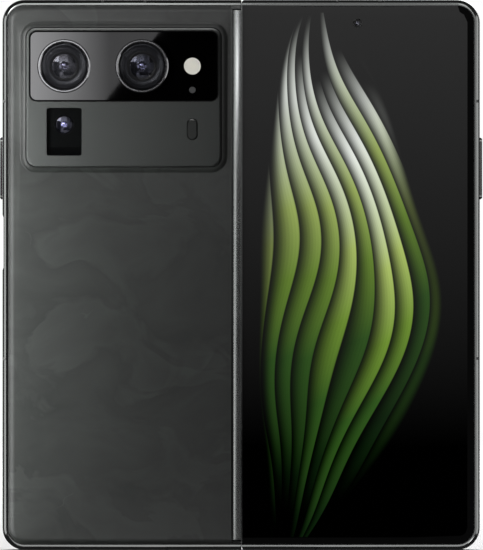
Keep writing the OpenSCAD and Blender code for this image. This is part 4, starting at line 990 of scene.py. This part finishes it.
def port_contacts():
    """Twelve gold contacts on each side of the port's tongue."""
    pitch, count, tongue_t = 0.5 * MM, 12, 0.7 * MM
    size, out, bevel, mid_up = (0.28 * MM, 0.03 * MM, 3.6 * MM), 0.01 * MM, 0.01 * MM, 3.4 * MM
    low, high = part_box("usb_c_receptacle")
    left_x, front_y = (low.x + high.x) / 2 - pitch * (count - 1) / 2, (low.y + high.y) / 2 - tongue_t / 2
    contacts = box_piece("port_contacts", (left_x, front_y - out, low.z + mid_up), size)
    edges = add_modifier("BEVEL")
    edges.width, edges.segments = bevel, 2
    row = add_modifier("ARRAY")
    row.count, row.use_relative_offset, row.use_constant_offset = count, False, True
    row.constant_offset_displace = (pitch, 0, 0)
    apply_modifiers()
    with edit_mode(everything=True):
        bpy.ops.mesh.duplicate_move(TRANSFORM_OT_translate={"value": (0, tongue_t + 2 * out, 0)})
    smooth_edges(contacts)
    settle(contacts, contact_finish, "camera_half")


port_contacts()


# ---------- pieces that cross the fold --------------

def sheet(name, low, high, cuts, slot, corner, hole):
    """A thin box, finely cut across, with round outer corners and perhaps a round hole (middle, radius)."""
    piece = box_piece(name, [(a + b) / 2 for a, b in zip(low, high)], [b - a for a, b in zip(low, high)])
    outer = low[0] if low[0] < 0 else high[0]
    if corner:
        ends = [[piece.data.vertices[v].co for v in edge.vertices] for edge in piece.data.edges]
        select_only(piece.data, edges=[all(abs(end.x - outer) < APART for end in pair)
                                       and abs(pair[0].z - pair[1].z) < APART for pair in ends])
        with edit_mode():
            bpy.ops.mesh.bevel(offset=corner, segments=10)
    if hole:
        bore(piece, *hole, depth=4 * MM, around=64)
    only(piece)
    with edit_mode():
        for x in cuts:
            bpy.ops.mesh.select_all(action="SELECT")
            bpy.ops.mesh.bisect(plane_co=(x, 0, 0), plane_no=(1, 0, 0))
    smooth_edges(piece, 30)
    piece.data.materials.append(FINISHES[slot].material)
    return piece


def folding_pair(name, low, high, start, end, slot, replaced, corner=0.0, holes=(None, None)):
    """A sheet over both halves, in two pieces that meet in the middle of the spine. Between start and end,
    distances from the middle, each is finely cut across."""
    strips = 24
    cuts = [start + (end - start) * k / strips for k in range(strips + 1)]
    for side, half, hole in ((-1, "camera_half", holes[0]), (1, "cover_half", holes[1])):
        ends = sorted((side * high[0], 0.0))
        piece = sheet(f"{half}_{name}", (ends[0], low[1], low[2]), (ends[1], high[1], high[2]),
                      [side * x for x in cuts], slot, corner, hole)
        if side < 0:
            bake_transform(piece)
        else:
            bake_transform(piece)
        for node in replaced:
            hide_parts(node)


def folding_screen():
    """The inner screen over both halves, with the inner camera's hole."""
    screen_low, screen_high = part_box("camera_half_screen")
    bend_low, bend_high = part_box("screen_bend_zone")
    lens = centre("inner_camera")
    folding_pair("folding_screen", (0, screen_low.y, bend_low.z), (-screen_low.x, screen_high.y, bend_high.z),
                 6.4 * MM, 1.2 * MM, "screen_glass",
                 ["camera_half_screen", "cover_half_screen", "screen_bend_zone"],
                 4 * MM, (None, ((lens.x, screen_low.y, lens.z), 1.7 * MM)))


def flex_cables():
    """The two flat cables that cross the hinge, at the ends of the CAD node that stands for both."""
    half_w = 9.0 * MM / 2
    low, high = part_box("hinge_flex_cables")
    for number, z in enumerate((low.z + half_w, high.z - half_w), 1):
        folding_pair(f"flex_cable_{number}", (0, low.y, z - half_w), (high.x, high.y, z + half_w),
                     5.0 * MM, 1.0 * MM, "flex_copper", ["hinge_flex_cables"])


folding_screen()
flex_cables()


# ---------- end ----------

group_pieces()
